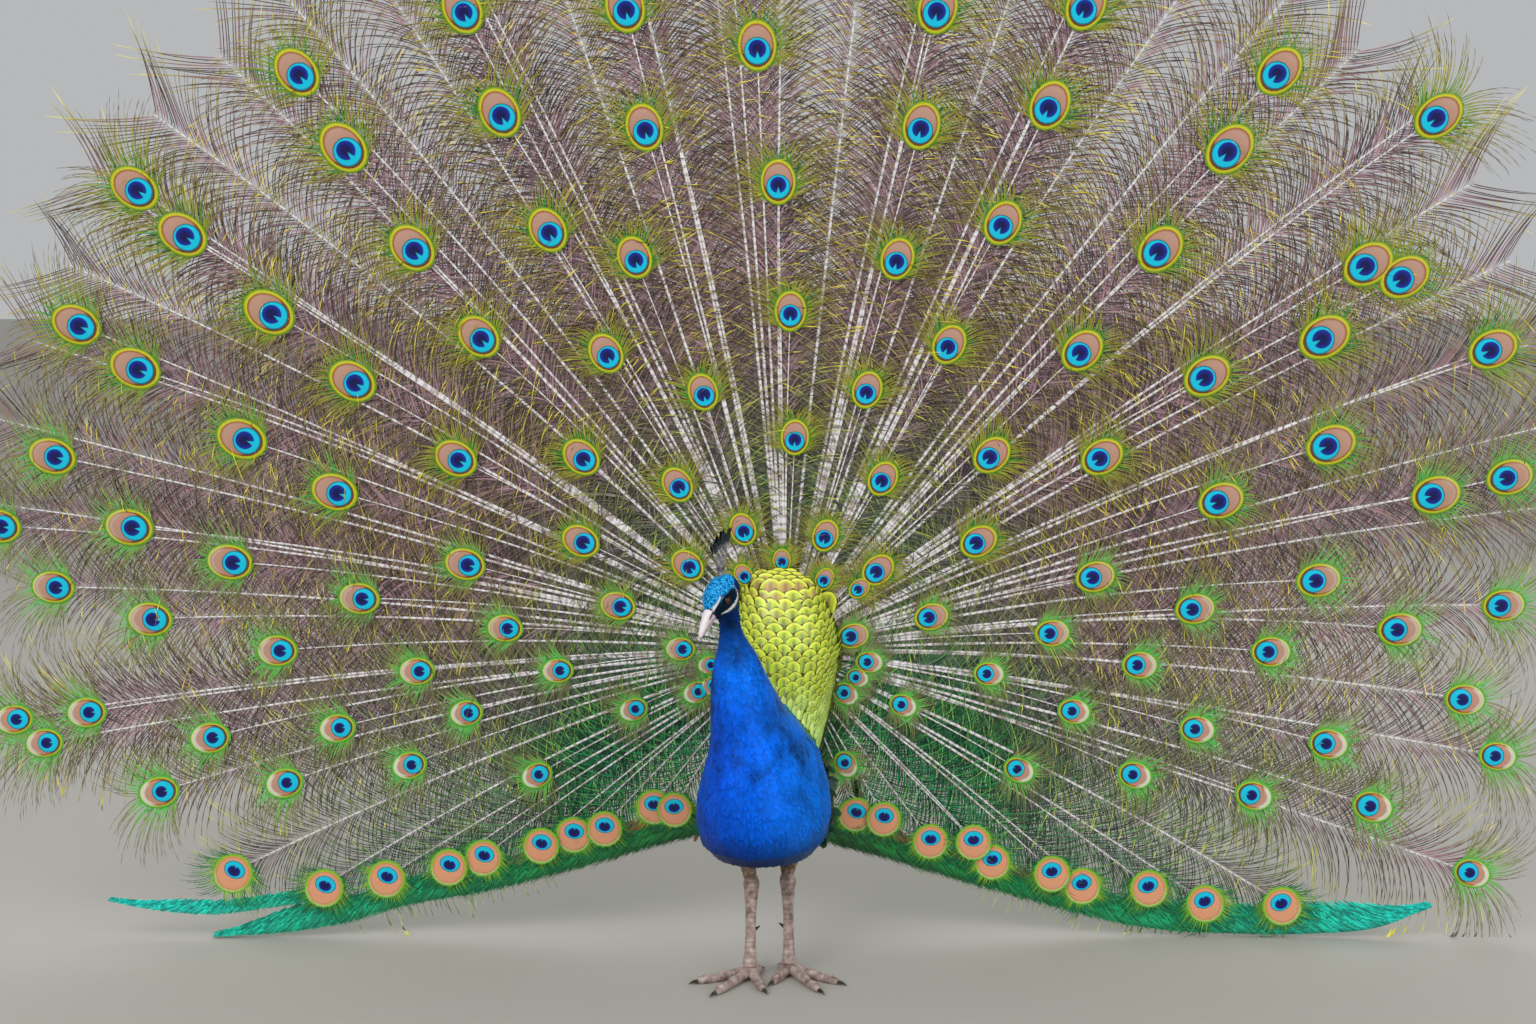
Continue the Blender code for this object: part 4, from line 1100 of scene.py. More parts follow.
def plumage(finish):
    """The colour that skin and coat share: royal blue breast, with painted sheen and shade that leave it
    darker and more violet on the bird's right, painted shade that makes it nearly black under the belly
    and up the throat and dark down the neck's right side, a painted highlight up the neck, blotched
    neck, azure crown, black and white face, teal beside the back and buff on the thighs."""
    across, _, height = finish.parts(finish.place())
    blotch = finish.noise(26.0, 3.0)
    fine = finish.noise(140.0, 2.0)
    side = (across - BODY_AXIS[0]) * 6.0 + 0.5
    # Painted sheen and shade: the breast runs from darker violet on the bird's right to bright blue on its
    # left.
    breast = side.ramp(((0.0, srgb(8, 44, 160)), (0.22, srgb(4, 66, 200)), (0.5, srgb(0, 96, 232)),
                        (0.8, srgb(0, 128, 255)), (1.0, srgb(0, 140, 255))))
    # Blue by height, darker at the foot and at the throat; the brighter band up the neck is a painted
    # highlight.
    deep = height.ramp(((0.165, srgb(3, 10, 50)), (0.205, srgb(0, 60, 170)), (0.245, srgb(0, 92, 226)),
                        (0.3, srgb(0, 100, 240)), (0.36, srgb(0, 78, 196)), (0.42, srgb(2, 84, 190)),
                        (0.47, srgb(0, 118, 232)), (0.51, srgb(4, 104, 190)), (0.545, srgb(2, 60, 110))))
    colour = finish.mix(0.5, breast, deep)
    shadow = height.ramp(((0.165, grey(0.05)), (0.2, grey(0.2)), (0.235, grey(0.72)), (0.275, grey(0.9)),
                          (0.485, grey(0.95)), (0.525, grey(0.55)), (0.56, grey(0.22))))
    colour = finish.multiplied(colour, shadow)
    # Painted shade: a dark navy band down the neck on the bird's right.
    nape = height.ramp(((0.37, grey(0.0)), (0.42, grey(0.75)), (0.49, grey(0.75)), (0.53, grey(0.0))))
    painted_shade_side = 1.0 - (side + (blotch - 0.5) * 0.35).step(0.19, 0.16)
    colour = finish.mix(nape * painted_shade_side, colour, srgb(2, 22, 74))
    dapple = (blotch + fine * 0.25).ramp(((0.42, grey(0.26)), (0.58, grey(0.95)), (0.76, grey(1.45))))
    blotched = height.ramp(((0.27, grey(0.0)), (0.34, grey(1.0))))
    colour = finish.mix(0.25 + blotched * 0.75, colour, finish.multiplied(colour, dapple))
    azure = finish.noise(420.0, 1.0).ramp(((0.34, srgb(2, 60, 120)), (0.46, srgb(6, 138, 214)),
                                           (0.6, srgb(60, 190, 250))))
    colour = finish.mix(finish.fact("crown"), colour, azure)
    colour = finish.mix(finish.fact("teal"), colour, srgb(0, 138, 170))
    colour = finish.mix(finish.fact("gold"), colour, srgb(112, 128, 36))
    buff = fine.ramp(((0.35, srgb(96, 78, 58)), (0.6, srgb(156, 134, 108))))
    colour = finish.mix(finish.fact("thigh"), colour, buff)
    colour = finish.mix(finish.fact("dark"), colour, srgb(6, 22, 38))
    return finish.mix(finish.fact("white"), colour, srgb(228, 230, 222))


def make_skin():
    """One skin round trunk, neck, head, back and thighs, inside them by the coat's depth."""
    build = remeshed(FLESH, SKIN_VOXEL, SKIN_ROUNDS)
    refine(build, Vector(HEAD_MIDDLE), 0.056)
    refine(build, Vector(HEAD_MIDDLE), 0.042)
    points, normals, _ = arrays_of(build)
    reach = np.linalg.norm(to_head(points), axis=1)
    depth = HEAD_COAT_DEPTH + (COAT_DEPTH - HEAD_COAT_DEPTH) * smooth_step((reach - 0.030) / 0.05)
    move_to(build, points - normals * depth[:, None])
    for centre in (EYE_LEFT, EYE_RIGHT):
        refine(build, Vector(centre), 0.0125)
    bmesh.ops.triangulate(build, faces=build.faces)
    points, normals, _ = arrays_of(build)
    move_to(build, model_face(points, normals))
    points, normals, faces = arrays_of(build)
    build.free()
    finish = Finish("bird_skin", 0.5)
    finish.colour(plumage(finish))
    add_piece("skin", points, faces, finish.material, FLESH, facts=plumage_facts(points),
              bake=unwrap(points))
    return points, normals, faces


# ---- coat of small feathers ----


def leaf(rows, across, belly=0.55, tip=0.5):
    """A small feather's shape on a unit square: along from 0 at the root to 1 at the tip, and
    across in half-widths, widest at belly and rounded to a point. Returns both and its faces."""
    along = np.linspace(0, 1, rows)
    half = np.where(along < belly, 0.45 + 0.55 * np.sin(np.pi / 2 * along / belly),
                    np.sqrt(np.maximum(1 - ((along - belly) / (1 - belly)) ** 2, 0)) ** (2 * tip))
    half[-1] = 0.06
    side = np.linspace(-1, 1, across)
    grid_along, grid_side = np.meshgrid(along, side, indexing="ij")
    return (grid_along.ravel(), (grid_side * half[:, None]).ravel(), grid_faces(rows, across),
            grid_side.ravel())


def lay_feathers(roots, normals, ways, length, width, lift, keel, shape):
    """Feathers on a surface: from each root along its way on the surface, standing off it by
    lift x along, with the middle raised by keel x width over the edges."""
    along, across, _, _ = shape
    ways = unit(ways - normals * (ways * normals).sum(-1, keepdims=True))
    sides = np.cross(ways, normals)
    out = length[:, None] * along
    wide = width[:, None] * 0.5 * across
    ridge = keel * width[:, None] * (1 - across**2) * np.sin(np.pi * np.minimum(along + 0.25, 1))
    off = lift[:, None] * along + ridge
    return (roots[:, None] + ways[:, None] * out[..., None] + sides[:, None] * wide[..., None]
            + normals[:, None] * off[..., None])


def sample_surface(points, normals, faces, spacing, keep):
    """Roots spread evenly over a surface: many random places, thinned to one in each cell of a
    cubic lattice, the one nearest the cell's middle."""
    corners = points[faces]
    areas = np.linalg.norm(np.cross(corners[:, 1] - corners[:, 0], corners[:, 2] - corners[:, 0]),
                           axis=1) / 2
    wanted = keep(corners.mean(1))
    areas = np.where(wanted, areas, 0)
    total = int(areas.sum() / spacing**2 * 12)
    chosen = RANDOM.choice(len(faces), total, p=areas / areas.sum())
    a, b = RANDOM.uniform(0, 1, (2, total))
    flip = a + b > 1
    a, b = np.where(flip, 1 - a, a), np.where(flip, 1 - b, b)
    weights = together(1 - a - b, a, b)[..., None]
    places = (points[faces[chosen]] * weights).sum(1)
    facing = unit((normals[faces[chosen]] * weights).sum(1))
    cells = np.floor(places / spacing).astype(int)
    middle = np.linalg.norm(places / spacing - cells - 0.5, axis=1)
    order = np.lexsort((middle, cells[:, 2], cells[:, 1], cells[:, 0]))
    fresh = np.any(np.diff(cells[order], axis=0, prepend=-10**6), axis=1)
    picked = order[fresh]
    return places[picked], facing[picked]


def coat_piece(name, strips, roots, shape, material, facts, replaced=(), bake_roots=None):
    """One piece from feathers (n, points, 3), with their roots' markings and bake patches."""
    count, each = strips.shape[:2]
    along, _, faces, side = shape
    bake_roots = unwrap(roots) if bake_roots is None else bake_roots
    bake = bake_roots[:, None] + PATCH * 0.5 * together(side, 2 * along - 1)[None]
    values = {key: np.repeat(value, each) for key, value in facts.items()}
    values["along"] = np.tile(along, count)
    values["across"] = np.tile(shape[1], count)
    return add_piece(name, strips, repeated(faces, count, each), material, replaced, facts=values,
                     bake=bake.reshape(-1, 2))


def lie_of_coat(points):
    """Which way feathers point: back from the bill on the head, then down the neck and body and
    towards the rear under the belly."""
    reach = np.linalg.norm(to_head(points), axis=1)
    body = np.array([0.0, 0.30, -1.0])
    head = -HEAD_AHEAD - 0.15 * HEAD_UP
    share = smooth_step((reach - 0.026) / 0.028)[:, None]
    return head * (1 - share) + body * share


def coat_finish():
    """The plumage's colours on feathers that are darker at the root, with a blue sheen."""
    finish = Finish("small_feather", 0.42, Specular_IOR_Level=0.30, Specular_Tint=(0.25, 0.6, 1.0, 1.0),
                    Sheen_Weight=0.12, Sheen_Roughness=0.35, Sheen_Tint=(0.05, 0.4, 1.0, 1.0))
    along, chance = finish.facts("along", "chance")
    shade = 0.45 + along * 0.6 + chance * 0.4
    return finish.colour(finish.scaled(plumage(finish), shade)).material


def make_coat(points, normals, faces):
    """Small feathers over breast, neck, head and thighs, smallest on the face."""
    finish = coat_finish()
    # Each zone has the feathers' spacing, length, width and lift, and the places it holds by their
    # reach from the head's middle and their height.
    zones = {
        "breast_feathers": (0.0046, 0.0145, 0.0078, 0.0022,
                            lambda reach, z: (reach > NECK_REACH) & (z > BREAST_END)),
        "neck_feathers": (0.0030, 0.0085, 0.0040, 0.0014,
                          lambda reach, z: (reach > HEAD_REACH) & (reach <= NECK_REACH)),
        "head_feathers": (0.0015, 0.0034, 0.0019, 0.0009, lambda reach, z: reach <= HEAD_REACH),
        "thigh_feathers": (0.0040, 0.0120, 0.0045, 0.0016, lambda reach, z: z <= BREAST_END),
    }
    for name, (spacing, length, width, lift, zone) in zones.items():
        def keep(middles, zone=zone):
            """Whether places belong to the zone."""
            return zone(np.linalg.norm(to_head(middles), axis=1), middles[:, 2])

        roots, facing = sample_surface(points, normals, faces, spacing, keep)
        if name in ("breast_feathers", "neck_feathers"):
            mine = (roots[:, 2] < 0.26) | (body_margin(roots) > -0.0015)
            roots, facing = roots[mine], facing[mine]
        if name == "head_feathers":
            ahead, side, up = to_head(roots).T
            ring = np.hypot(ahead - EYE_AHEAD, up - EYE_UP)
            white, _ = face_marks(roots)
            bare = (white > 0.4) | ((ring < 0.0068) & (np.abs(side) > 0.012)) | (ahead > 0.033)
            roots, facing = roots[~bare], facing[~bare]
        count = len(roots)
        chance = RANDOM.uniform(0, 1, count)
        ways = lie_of_coat(roots) + RANDOM.normal(0, 0.10, (count, 3))
        lifts = lift * (0.7 + 0.6 * RANDOM.uniform(0, 1, count))
        shape = leaf(4, 3)
        feathers = lay_feathers(roots, facing, ways, length * (0.85 + 0.3 * chance),
                                width * (0.9 + 0.2 * chance), lifts, 0.10, shape)
        coat_piece(name, feathers, roots, shape, finish, plumage_facts(roots) | {"chance": chance})


def make_rump_feathers(points, normals, faces):
    """Small bronze-green feathers over the rump behind the train, lying out from its middle."""
    finish = Finish("rump_feather", 0.5)
    along, chance = finish.facts("along", "chance")
    colour = along.ramp(((0.0, srgb(58, 62, 28)), (0.6, srgb(116, 122, 44)), (0.9, srgb(84, 88, 34)),
                         (1.0, srgb(44, 46, 22))))
    finish.colour(finish.scaled(colour, 0.6 + chance * 0.8))

    def keep(middles):
        """Whether places are behind the train."""
        return middles[:, 1] > HUB[1] - 0.010

    roots, facing = sample_surface(points, normals, faces, 0.0046, keep)
    count = len(roots)
    ways = (roots - HUB) * np.array([1.0, 0.2, 1.0]) + np.array([0, 0, -0.006])
    ways = ways + RANDOM.normal(0, 0.003, (count, 3))
    shape = leaf(5, 3)
    feathers = lay_feathers(roots, facing, ways, RANDOM.uniform(0.014, 0.019, count),
                            np.full(count, 0.0085), np.full(count, 0.0025), 0.10, shape)
    coat_piece("rump_feathers", feathers, roots, shape, finish.material,
               {"chance": RANDOM.uniform(0, 1, count)})


# ---- eyes, bill and crest ----


def make_eyeballs():
    """Glossy balls with a brown iris and a black pupil, set in the sockets."""
    finish = Finish("eyeball", 0.30, Specular_IOR_Level=0.2, Coat_Weight=0.45, Coat_Roughness=0.02)
    out = finish.fact("off_axis")
    finish.colour(out.ramp(((0.0, grey(0.001)), (0.4, grey(0.001)), (0.45, srgb(88, 44, 24)),
                            (0.66, srgb(60, 26, 14)), (0.78, srgb(10, 6, 5)))))
    rows, columns = 28, 32
    tilt = np.linspace(0, np.pi, rows)[:, None]
    turn = circle(columns)
    for name, centre, sign in (("eyeball_left", EYE_LEFT, 1), ("eyeball_right", EYE_RIGHT, -1)):
        ball = together(np.sin(tilt) * np.cos(turn), sign * np.cos(tilt),
                        sign * np.sin(tilt) * np.sin(turn))
        points = centre + EYE_RADIUS * ball @ HEAD_AXES
        facts = {"off_axis": np.broadcast_to(tilt / (np.pi / 2), (rows, columns)).ravel()}
        bake = together(turn / 7.0 + 0.05, tilt / 3.5 + 0.05).reshape(-1, 2)
        node = name.replace("ball", "")
        add_piece(name, points, grid_faces(rows, columns, closed=True), finish.material, (node,),
                  facts=facts, bake=bake)


def make_bill():
    """Two mandibles: rings across the head's frame, whose width and height fall off towards a
    drooping tip, with a nostril groove on each side and a ridge along the top."""
    finish = Finish("horn_of_bill", 0.38, Specular_IOR_Level=0.5)
    rise, streak = finish.fact("rise"), finish.noise(160.0)
    # Painted light: the upper mandible is palest on top and greyer down its sides, as lit from above.
    pale = (rise * 0.5 + streak * 0.5).ramp((
        (0.16, srgb(140, 118, 128)), (0.36, srgb(214, 196, 204)), (0.70, srgb(246, 236, 240))))
    # Painted shade along the upper mandible's lower half, at the gape.
    gape = 1.0 - rise.step(0.07, 0.10)
    pale = finish.mix(gape * 0.75, pale, srgb(84, 66, 78))
    # Painted shade in the nostril grooves.
    finish.colour(finish.mix(finish.fact("groove"), pale, srgb(84, 64, 76)))
    rows, columns = 40, 36
    share = np.linspace(0, 1, rows)[:, None]
    turn = circle(columns)
    droop = -0.006 * share**2.2
    width = 0.0104 * (1 - share * 0.985) ** 0.50 + 0.0004
    tall = 0.0130 * (1 - share * 0.985) ** 0.52 + 0.0006
    low_tall = 0.0064 * (1 - share * 0.95) ** 0.6
    sine, cosine = np.sin(turn), np.cos(turn)
    side_wall = np.sign(cosine) * np.abs(cosine) ** 0.85
    groove = np.exp(-(((share - 0.34) / 0.14) ** 2) - ((sine - 0.52 + 0.3 * share) / 0.13) ** 2)
    pinch = 1 - 0.16 * np.exp(-(((sine - 0.35) / 0.3) ** 2)) * smooth_step((0.75 - share) / 0.4)
    long_ = BILL_TIP - BILL_ROOT
    upper = from_head(BILL_ROOT + share * long_, width * side_wall * pinch * (1 - 0.20 * groove),
                      droop - 0.0010 + sine * np.where(sine > 0, tall, 0.0012))
    lower = from_head(BILL_ROOT + share * 0.93 * long_ * 0.96, width * 0.86 * side_wall,
                      droop * 0.86 - 0.0034 + sine * np.where(sine < 0, low_tall, 0.0006))
    walls = [grid_faces(rows, columns, closed=True), end_faces(rows, columns)]
    bake = together(0.05 + 0.9 * turn / 6.3, 0.05 + 0.4 * share).reshape(-1, 2)
    upper_facts = {"rise": np.tile(np.maximum(sine, 0), rows),
                   "groove": smooth_step((groove - 0.30) / 0.3).ravel()}
    lower_facts = {"rise": np.full(rows * columns, 0.35), "groove": np.zeros(rows * columns)}
    add_piece("bill_top", upper, walls, finish.material, ("bill_upper",), upper_facts, bake)
    add_piece("bill_bottom", lower, walls, finish.material, ("bill_lower",), lower_facts, bake)


def tubes(centres, radii, sides, flatten=1.0):
    """Round tubes along many paths at once: centres (n, stations, 3), radii (n, stations)."""
    run = unit(np.gradient(centres, axis=1))
    helper = np.where(np.abs(run[:, :1, 2:]) < 0.8, np.array([0, 0, 1.0]), np.array([0, 1.0, 0]))
    side = unit(np.cross(run, helper))
    other = np.cross(run, side)
    turn = circle(sides)
    ring = side[:, :, None] * np.cos(turn)[:, None] + flatten * other[:, :, None] * np.sin(turn)[:, None]
    return centres[:, :, None] + ring * radii[:, :, None, None]


def make_crest():
    """Two dozen bare stems in a lengthwise fan over the crown, each with a small blue-black vane."""
    count, stations = 24, 9
    spread = np.linspace(-1, 1, count)
    turn = CREST_SPREAD * spread + RANDOM.normal(0, 0.02, count)
    reach = CREST_LENGTH * (1 - 0.20 * spread) * (1 + RANDOM.normal(0, 0.02, count))
    upright = np.array([-math.sin(HEAD_PITCH), 0.0, math.cos(HEAD_PITCH)])
    forward = np.array([math.cos(HEAD_PITCH), 0.0, math.sin(HEAD_PITCH)])
    way = upright * np.cos(turn)[:, None] + forward * np.sin(turn)[:, None]
    way[:, 1] += 0.05 * np.where(np.arange(count) % 2, 1, -1)
    root = np.array(CREST_ROOT) + forward * (spread * 0.005)[:, None]
    along = np.linspace(0, 1, stations)[None, :, None]
    local = root[:, None] + way[:, None] * (reach[:, None, None] * (along * 0.86 - 0.04))
    centres = from_head(*np.moveaxis(local, -1, 0))
    radii = np.broadcast_to(0.00042 - 0.00016 * along[..., 0], (count, stations))
    stem = Finish("crest_stem", 0.5)
    stem.colour(stem.noise(120.0, 2.0).ramp(((0.35, srgb(70, 66, 74)), (0.65, srgb(196, 190, 196)))))
    bake = together(((np.arange(count) + 0.2)[:, None, None] + 0.6 * np.arange(4) / 4) / count,
                    0.02 + 0.5 * along)
    faces = [repeated(shape, count, stations * 4)
             for shape in (grid_faces(stations, 4, closed=True), end_faces(stations, 4))]
    add_piece("crest_stems", tubes(centres, radii, 4), faces, stem.material, ("crest",),
              bake=bake.reshape(-1, 2))
    tip = Finish("crest_tip", 0.35, Specular_IOR_Level=0.6)
    tip.colour(tip.fact("along").ramp(((0.0, srgb(4, 40, 60)), (0.5, srgb(4, 16, 34)),
                                       (1.0, srgb(2, 8, 18)))))
    shape = leaf(7, 5, belly=0.7, tip=0.35)
    roots = from_head(*np.moveaxis(root + way * (reach * 0.74)[:, None], -1, 0))
    facing = np.broadcast_to(HEAD_LEFT, roots.shape) + RANDOM.normal(0, 0.12, roots.shape)
    vanes = lay_feathers(roots, unit(facing), way @ HEAD_AXES, reach * 0.27, np.full(count, 0.0062),
                         np.zeros(count), 0.05, shape)
    coat_piece("crest_tips", vanes, roots, shape, tip.material, {},
               bake_roots=together((np.arange(count) + 0.5) / count, np.full(count, 0.8)))


# ---- the back's scales ----


def scale_finish():
    """Gold green with a pale line inside the edges that is a painted highlight, dark edges that are partly
    the scales' own rims and partly painted shade between the scales, a brown shaft line, and bronze
    middles on the largest scales. The small ones get painted light: lighter and cooler."""
    finish = Finish("back_scale", 0.33, Specular_IOR_Level=0.6, Coat_Weight=0.15, Coat_Roughness=0.3)
    along, across, chance, size = finish.facts("along", "across", "chance", "size")
    tipward = (along - 0.6).at_least(0.0) * 2.5
    square = across * across
    ring = (square + tipward * tipward).root()
    ring = ring + (finish.noise(300.0) - 0.5) * 0.12
    # Along the ring: the pale line at 0.78 is a painted highlight, and the dark rim from 0.905 is partly
    # the scales' own edges and partly painted shade between them.
    gold = ring.ramp(((0.0, srgb(154, 180, 84)), (0.3, srgb(182, 212, 60)), (0.6, srgb(204, 226, 52)),
                      (0.78, srgb(246, 248, 100)), (0.86, srgb(200, 208, 44)), (0.905, srgb(50, 56, 8)),
                      (1.0, srgb(18, 26, 6))))
    # Painted light: the small scales, low on the back, are mixed paler and brightened.
    small = 1.0 - size.step(0.3, 0.5)
    lit = chance.ramp(((0.0, (1.15, 1.3, 1.3)), (1.0, (1.5, 1.6, 1.6))))
    lighter = finish.multiplied(finish.mix(0.74, gold, srgb(220, 244, 158)), lit)
    green = finish.mix(small, gold, lighter)
    middle = 1.0 - ring.step(0.55, 0.35)
    bronze = size.step(0.84, 0.2) * (middle * 0.8)
    colour = finish.mix(bronze, green, srgb(214, 158, 108))
    line = (1.0 - square.step(0.025, 0.05)) * middle
    colour = finish.mix(line * 0.45, colour, srgb(120, 100, 62))
    return finish.colour(finish.scaled(colour, 0.98 + chance * 0.35)).material


def scale_width(rise):
    """Width of a scale, given how high it stands on the back, from 0 to 1."""
    return SCALE_SIZES[0] + SCALE_SIZES[1] * np.clip(rise, 0, 1) ** 1.35


def cast_scales(points, faces):
    """Roots of the scales, in staggered rows up the back: each is cast level, or from above over
    the top, onto the back's solid and moved from there to the skin. Returns places, facings, how
    high each stands from 0 to 1, and the sine of its tilt over the top."""
    low, high = box_of("back")
    middle = (low[0] + high[0]) / 2
    corners = np.array([v.co[:] for v in frame["nodes"]["back"].data.vertices])
    back = solid_tree("back")
    skin = BVHTree.FromPolygons([Vector(p) for p in points], [f.tolist() for f in faces])
    rows = []

    def cast_row(height, rise, tilt, row):
        """One row at a height, tilted up over the top by tilt. Returns its scales' width."""
        width = scale_width(rise)
        near_row = np.abs(corners[:, 2] - height) < 0.022
        round_ = math.pi * np.abs(corners[near_row, 0] - middle).max() * (0.85 * math.cos(tilt) + 0.15)
        step = width * 0.86 / round_ * math.pi
        for k in range(-int(math.pi / 2 / step) - 1, int(math.pi / 2 / step) + 2):
            turn = math.pi / 2 + (k + 0.5 * (row % 2)) * step + RANDOM.normal(0, 0.012)
            way = Vector((math.cos(turn) * math.cos(tilt), -math.sin(turn) * math.cos(tilt),
                          math.sin(tilt)))
            hit = back.ray_cast(Vector((middle, high[1] - 0.012, height)) + way * 0.3, -way)[0]
            place, facing, _, away = skin.find_nearest(hit) if hit is not None else (None, None, None, 1.0)
            if away < 0.009:
                rows.append((*place, *facing, rise, math.sin(tilt)))
        return width

    height, row = low[2] + 0.002, 0
    while height < high[2] - 0.040:
        rise = (height - low[2]) / (high[2] - low[2])
        height += (0.29 + 0.08 * rise) * cast_row(height, rise, 0.0, row)
        row += 1
    for tilt in (12, 26, 40, 54, 68, 82):
        cast_row(high[2] - 0.042, 0.90, math.radians(tilt), row)
        row += 1
    rows = np.array(rows)
    rows = rows[body_margin(rows[:, :3]) < 0.0015]
    return rows[:, :3], rows[:, 3:6], rows[:, 6], rows[:, 7]


def make_back_scales(points, faces):
    """Rounded feathers up the raised back, small below and large on top, that point up on the back
    and backwards over its top."""
    low, high = box_of("back")
    roots, facing, sizes, tops = cast_scales(points, faces)
    count = len(roots)
    chance = RANDOM.uniform(0, 1, count)
    width = scale_width(sizes) * (1.16 + 0.08 * (chance - 0.5))
    out = (roots[:, 0] - (low[0] + high[0]) / 2) / ((high[0] - low[0]) / 2)
    ways = together(0.30 * out, 1.5 * tops, 1.0 - 0.9 * tops)
    ways = ways + RANDOM.normal(0, 0.03, (count, 3))
    shape = leaf(7, 5, belly=0.62, tip=0.38)
    lift = width * (0.34 - 0.20 * tops)
    scales = lay_feathers(roots, facing, ways, width * (1.06 - 0.22 * tops), width, lift, 0.07, shape)
    # The edges are tucked in, because the scales wrap a round back.
    scales = scales - facing[:, None] * (0.13 * width[:, None] * shape[1] ** 2)[..., None]
    coat_piece("back_scales", scales, roots, shape, scale_finish(),
               {"chance": chance, "size": np.clip(sizes + RANDOM.normal(0, 0.05, count), 0, 1)},
               bake_roots=together(0.04 + 0.46 * (1 + out), 0.04 + 0.92 * np.clip(sizes, 0, 1)))


# ---- wings, tail and down ----


def cover_node(name, names, sizes, lie, finish, depth=0.003, shape=None):
    """Feathers over CAD nodes: the nodes' smoothed surface, sunk by depth, as a skin, and leaves
    laid on it. The sizes are their spacing, length, width and lift, and lie says where they point."""
    spacing, length, width, lift = sizes
    build = remeshed(names, COVER_VOXEL, COVER_ROUNDS)
    points, normals, _ = arrays_of(build)
    move_to(build, points - normals * depth)
    bmesh.ops.triangulate(build, faces=build.faces)
    points, normals, faces = arrays_of(build)
    build.free()
    skin_facts = {"along": np.full(len(points), 0.3), "chance": np.full(len(points), 0.2)}
    add_piece(name + "_skin", points, faces, finish, names, skin_facts, unwrap_box(points, names))
    roots, facing = sample_surface(points, normals, faces, spacing, lambda middles: True)
    count = len(roots)
    chance = RANDOM.uniform(0, 1, count)
    shape = shape or leaf(5, 5)
    feathers = lay_feathers(roots, facing, lie(roots) + RANDOM.normal(0, 0.08, (count, 3)),
                            length * (0.85 + 0.3 * chance), width * (0.9 + 0.2 * chance),
                            lift * (0.7 + 0.6 * chance), 0.08, shape)
    coat_piece(name, feathers, roots, shape, finish, {"chance": chance},
               bake_roots=unwrap_box(roots, names))


def unwrap_box(points, names):
    """Nodes' surface unrolled round the middle of their box, turn across and height up."""
    low, high = box_of(*names)
    middle = (low + high) / 2
    turn = np.arctan2(points[:, 1] - middle[1], points[:, 0] - middle[0]) / (2 * np.pi) + 0.5
    rise = np.clip((points[:, 2] - low[2]) / (high[2] - low[2]), 0, 1)
    return together(0.03 + 0.94 * turn, 0.03 + 0.94 * rise)


def make_wings():
    """Drooped wings: barred buff and black coverts, darker and glossed green in front."""
    finish = Finish("wing_covert", 0.5)
    along, chance = finish.facts("along", "chance")
    _, depth, _ = finish.parts(finish.place())
    bars = (along * 13.0 + finish.noise(60.0) * 5.0).sine()
    barred = finish.mix(bars.step(0.15, 0.4), srgb(186, 160, 118), srgb(28, 26, 28))
    glossy = along.ramp(((0.0, srgb(2, 28, 24)), (0.7, srgb(6, 74, 48)), (1.0, srgb(30, 110, 50))))
    front = (depth + finish.noise(18.0) * 0.05).step(0.055, 0.03)
    colour = finish.mix(front, glossy, barred)
    finish.colour(finish.scaled(colour, 0.6 + chance * 0.5))
    for side, sign in (("left", 1), ("right", -1)):
        def lie(roots, sign=sign):
            """Backwards, down and a little outwards, everywhere the same."""
            return np.broadcast_to(np.array([0.10 * sign, 0.75, -0.65]), roots.shape)

        cover_node(f"wing_coverts_{side}", (f"wing_{side}",), (0.0085, 0.021, 0.013, 0.002), lie,
                   finish.material)


def long_feathers(root, tip, facing, width, bow, shape):
    """Long single feathers between roots and tips, bowed off their faces by bow x 4 x t x (1 - t)."""
    along, across, _, _ = shape
    run = tip - root
    ways = unit(run)
    facing = unit(facing - ways * (facing * ways).sum(-1, keepdims=True))
    sides = np.cross(ways, facing)
    wide = 0.5 * width * across
    off = bow * 4 * along * (1 - along) - 0.06 * width * across**2
    return (root[:, None] + run[:, None] * along[:, None] + sides[:, None] * wide[:, None]
            + facing[:, None] * off[:, None])


def vane_finish(name, stops, shaft, bars=0.0):
    """A long feather's vane: colours from root to tip, fine barb lines, a pale shaft and bars."""
    finish = Finish(name, 0.55)
    along, across, chance = finish.facts("along", "across", "chance")
    colour = along.ramp(stops)
    lines = ((along + abs(across) * 0.05) * 900.0).sine()
    shade = 0.75 + lines * 0.08 + chance * 0.35
    if bars:
        wave = (along * bars + finish.noise(30.0) * 3.0).sine()
        colour = finish.mix(wave.step(0.2, 0.5) * 0.7, colour, (0.02, 0.018, 0.015))
    colour = finish.scaled(colour, shade)
    rib = 1.0 - abs(across).step(0.045, 0.03)
    return finish.colour(finish.mix(rib, colour, shaft)).material


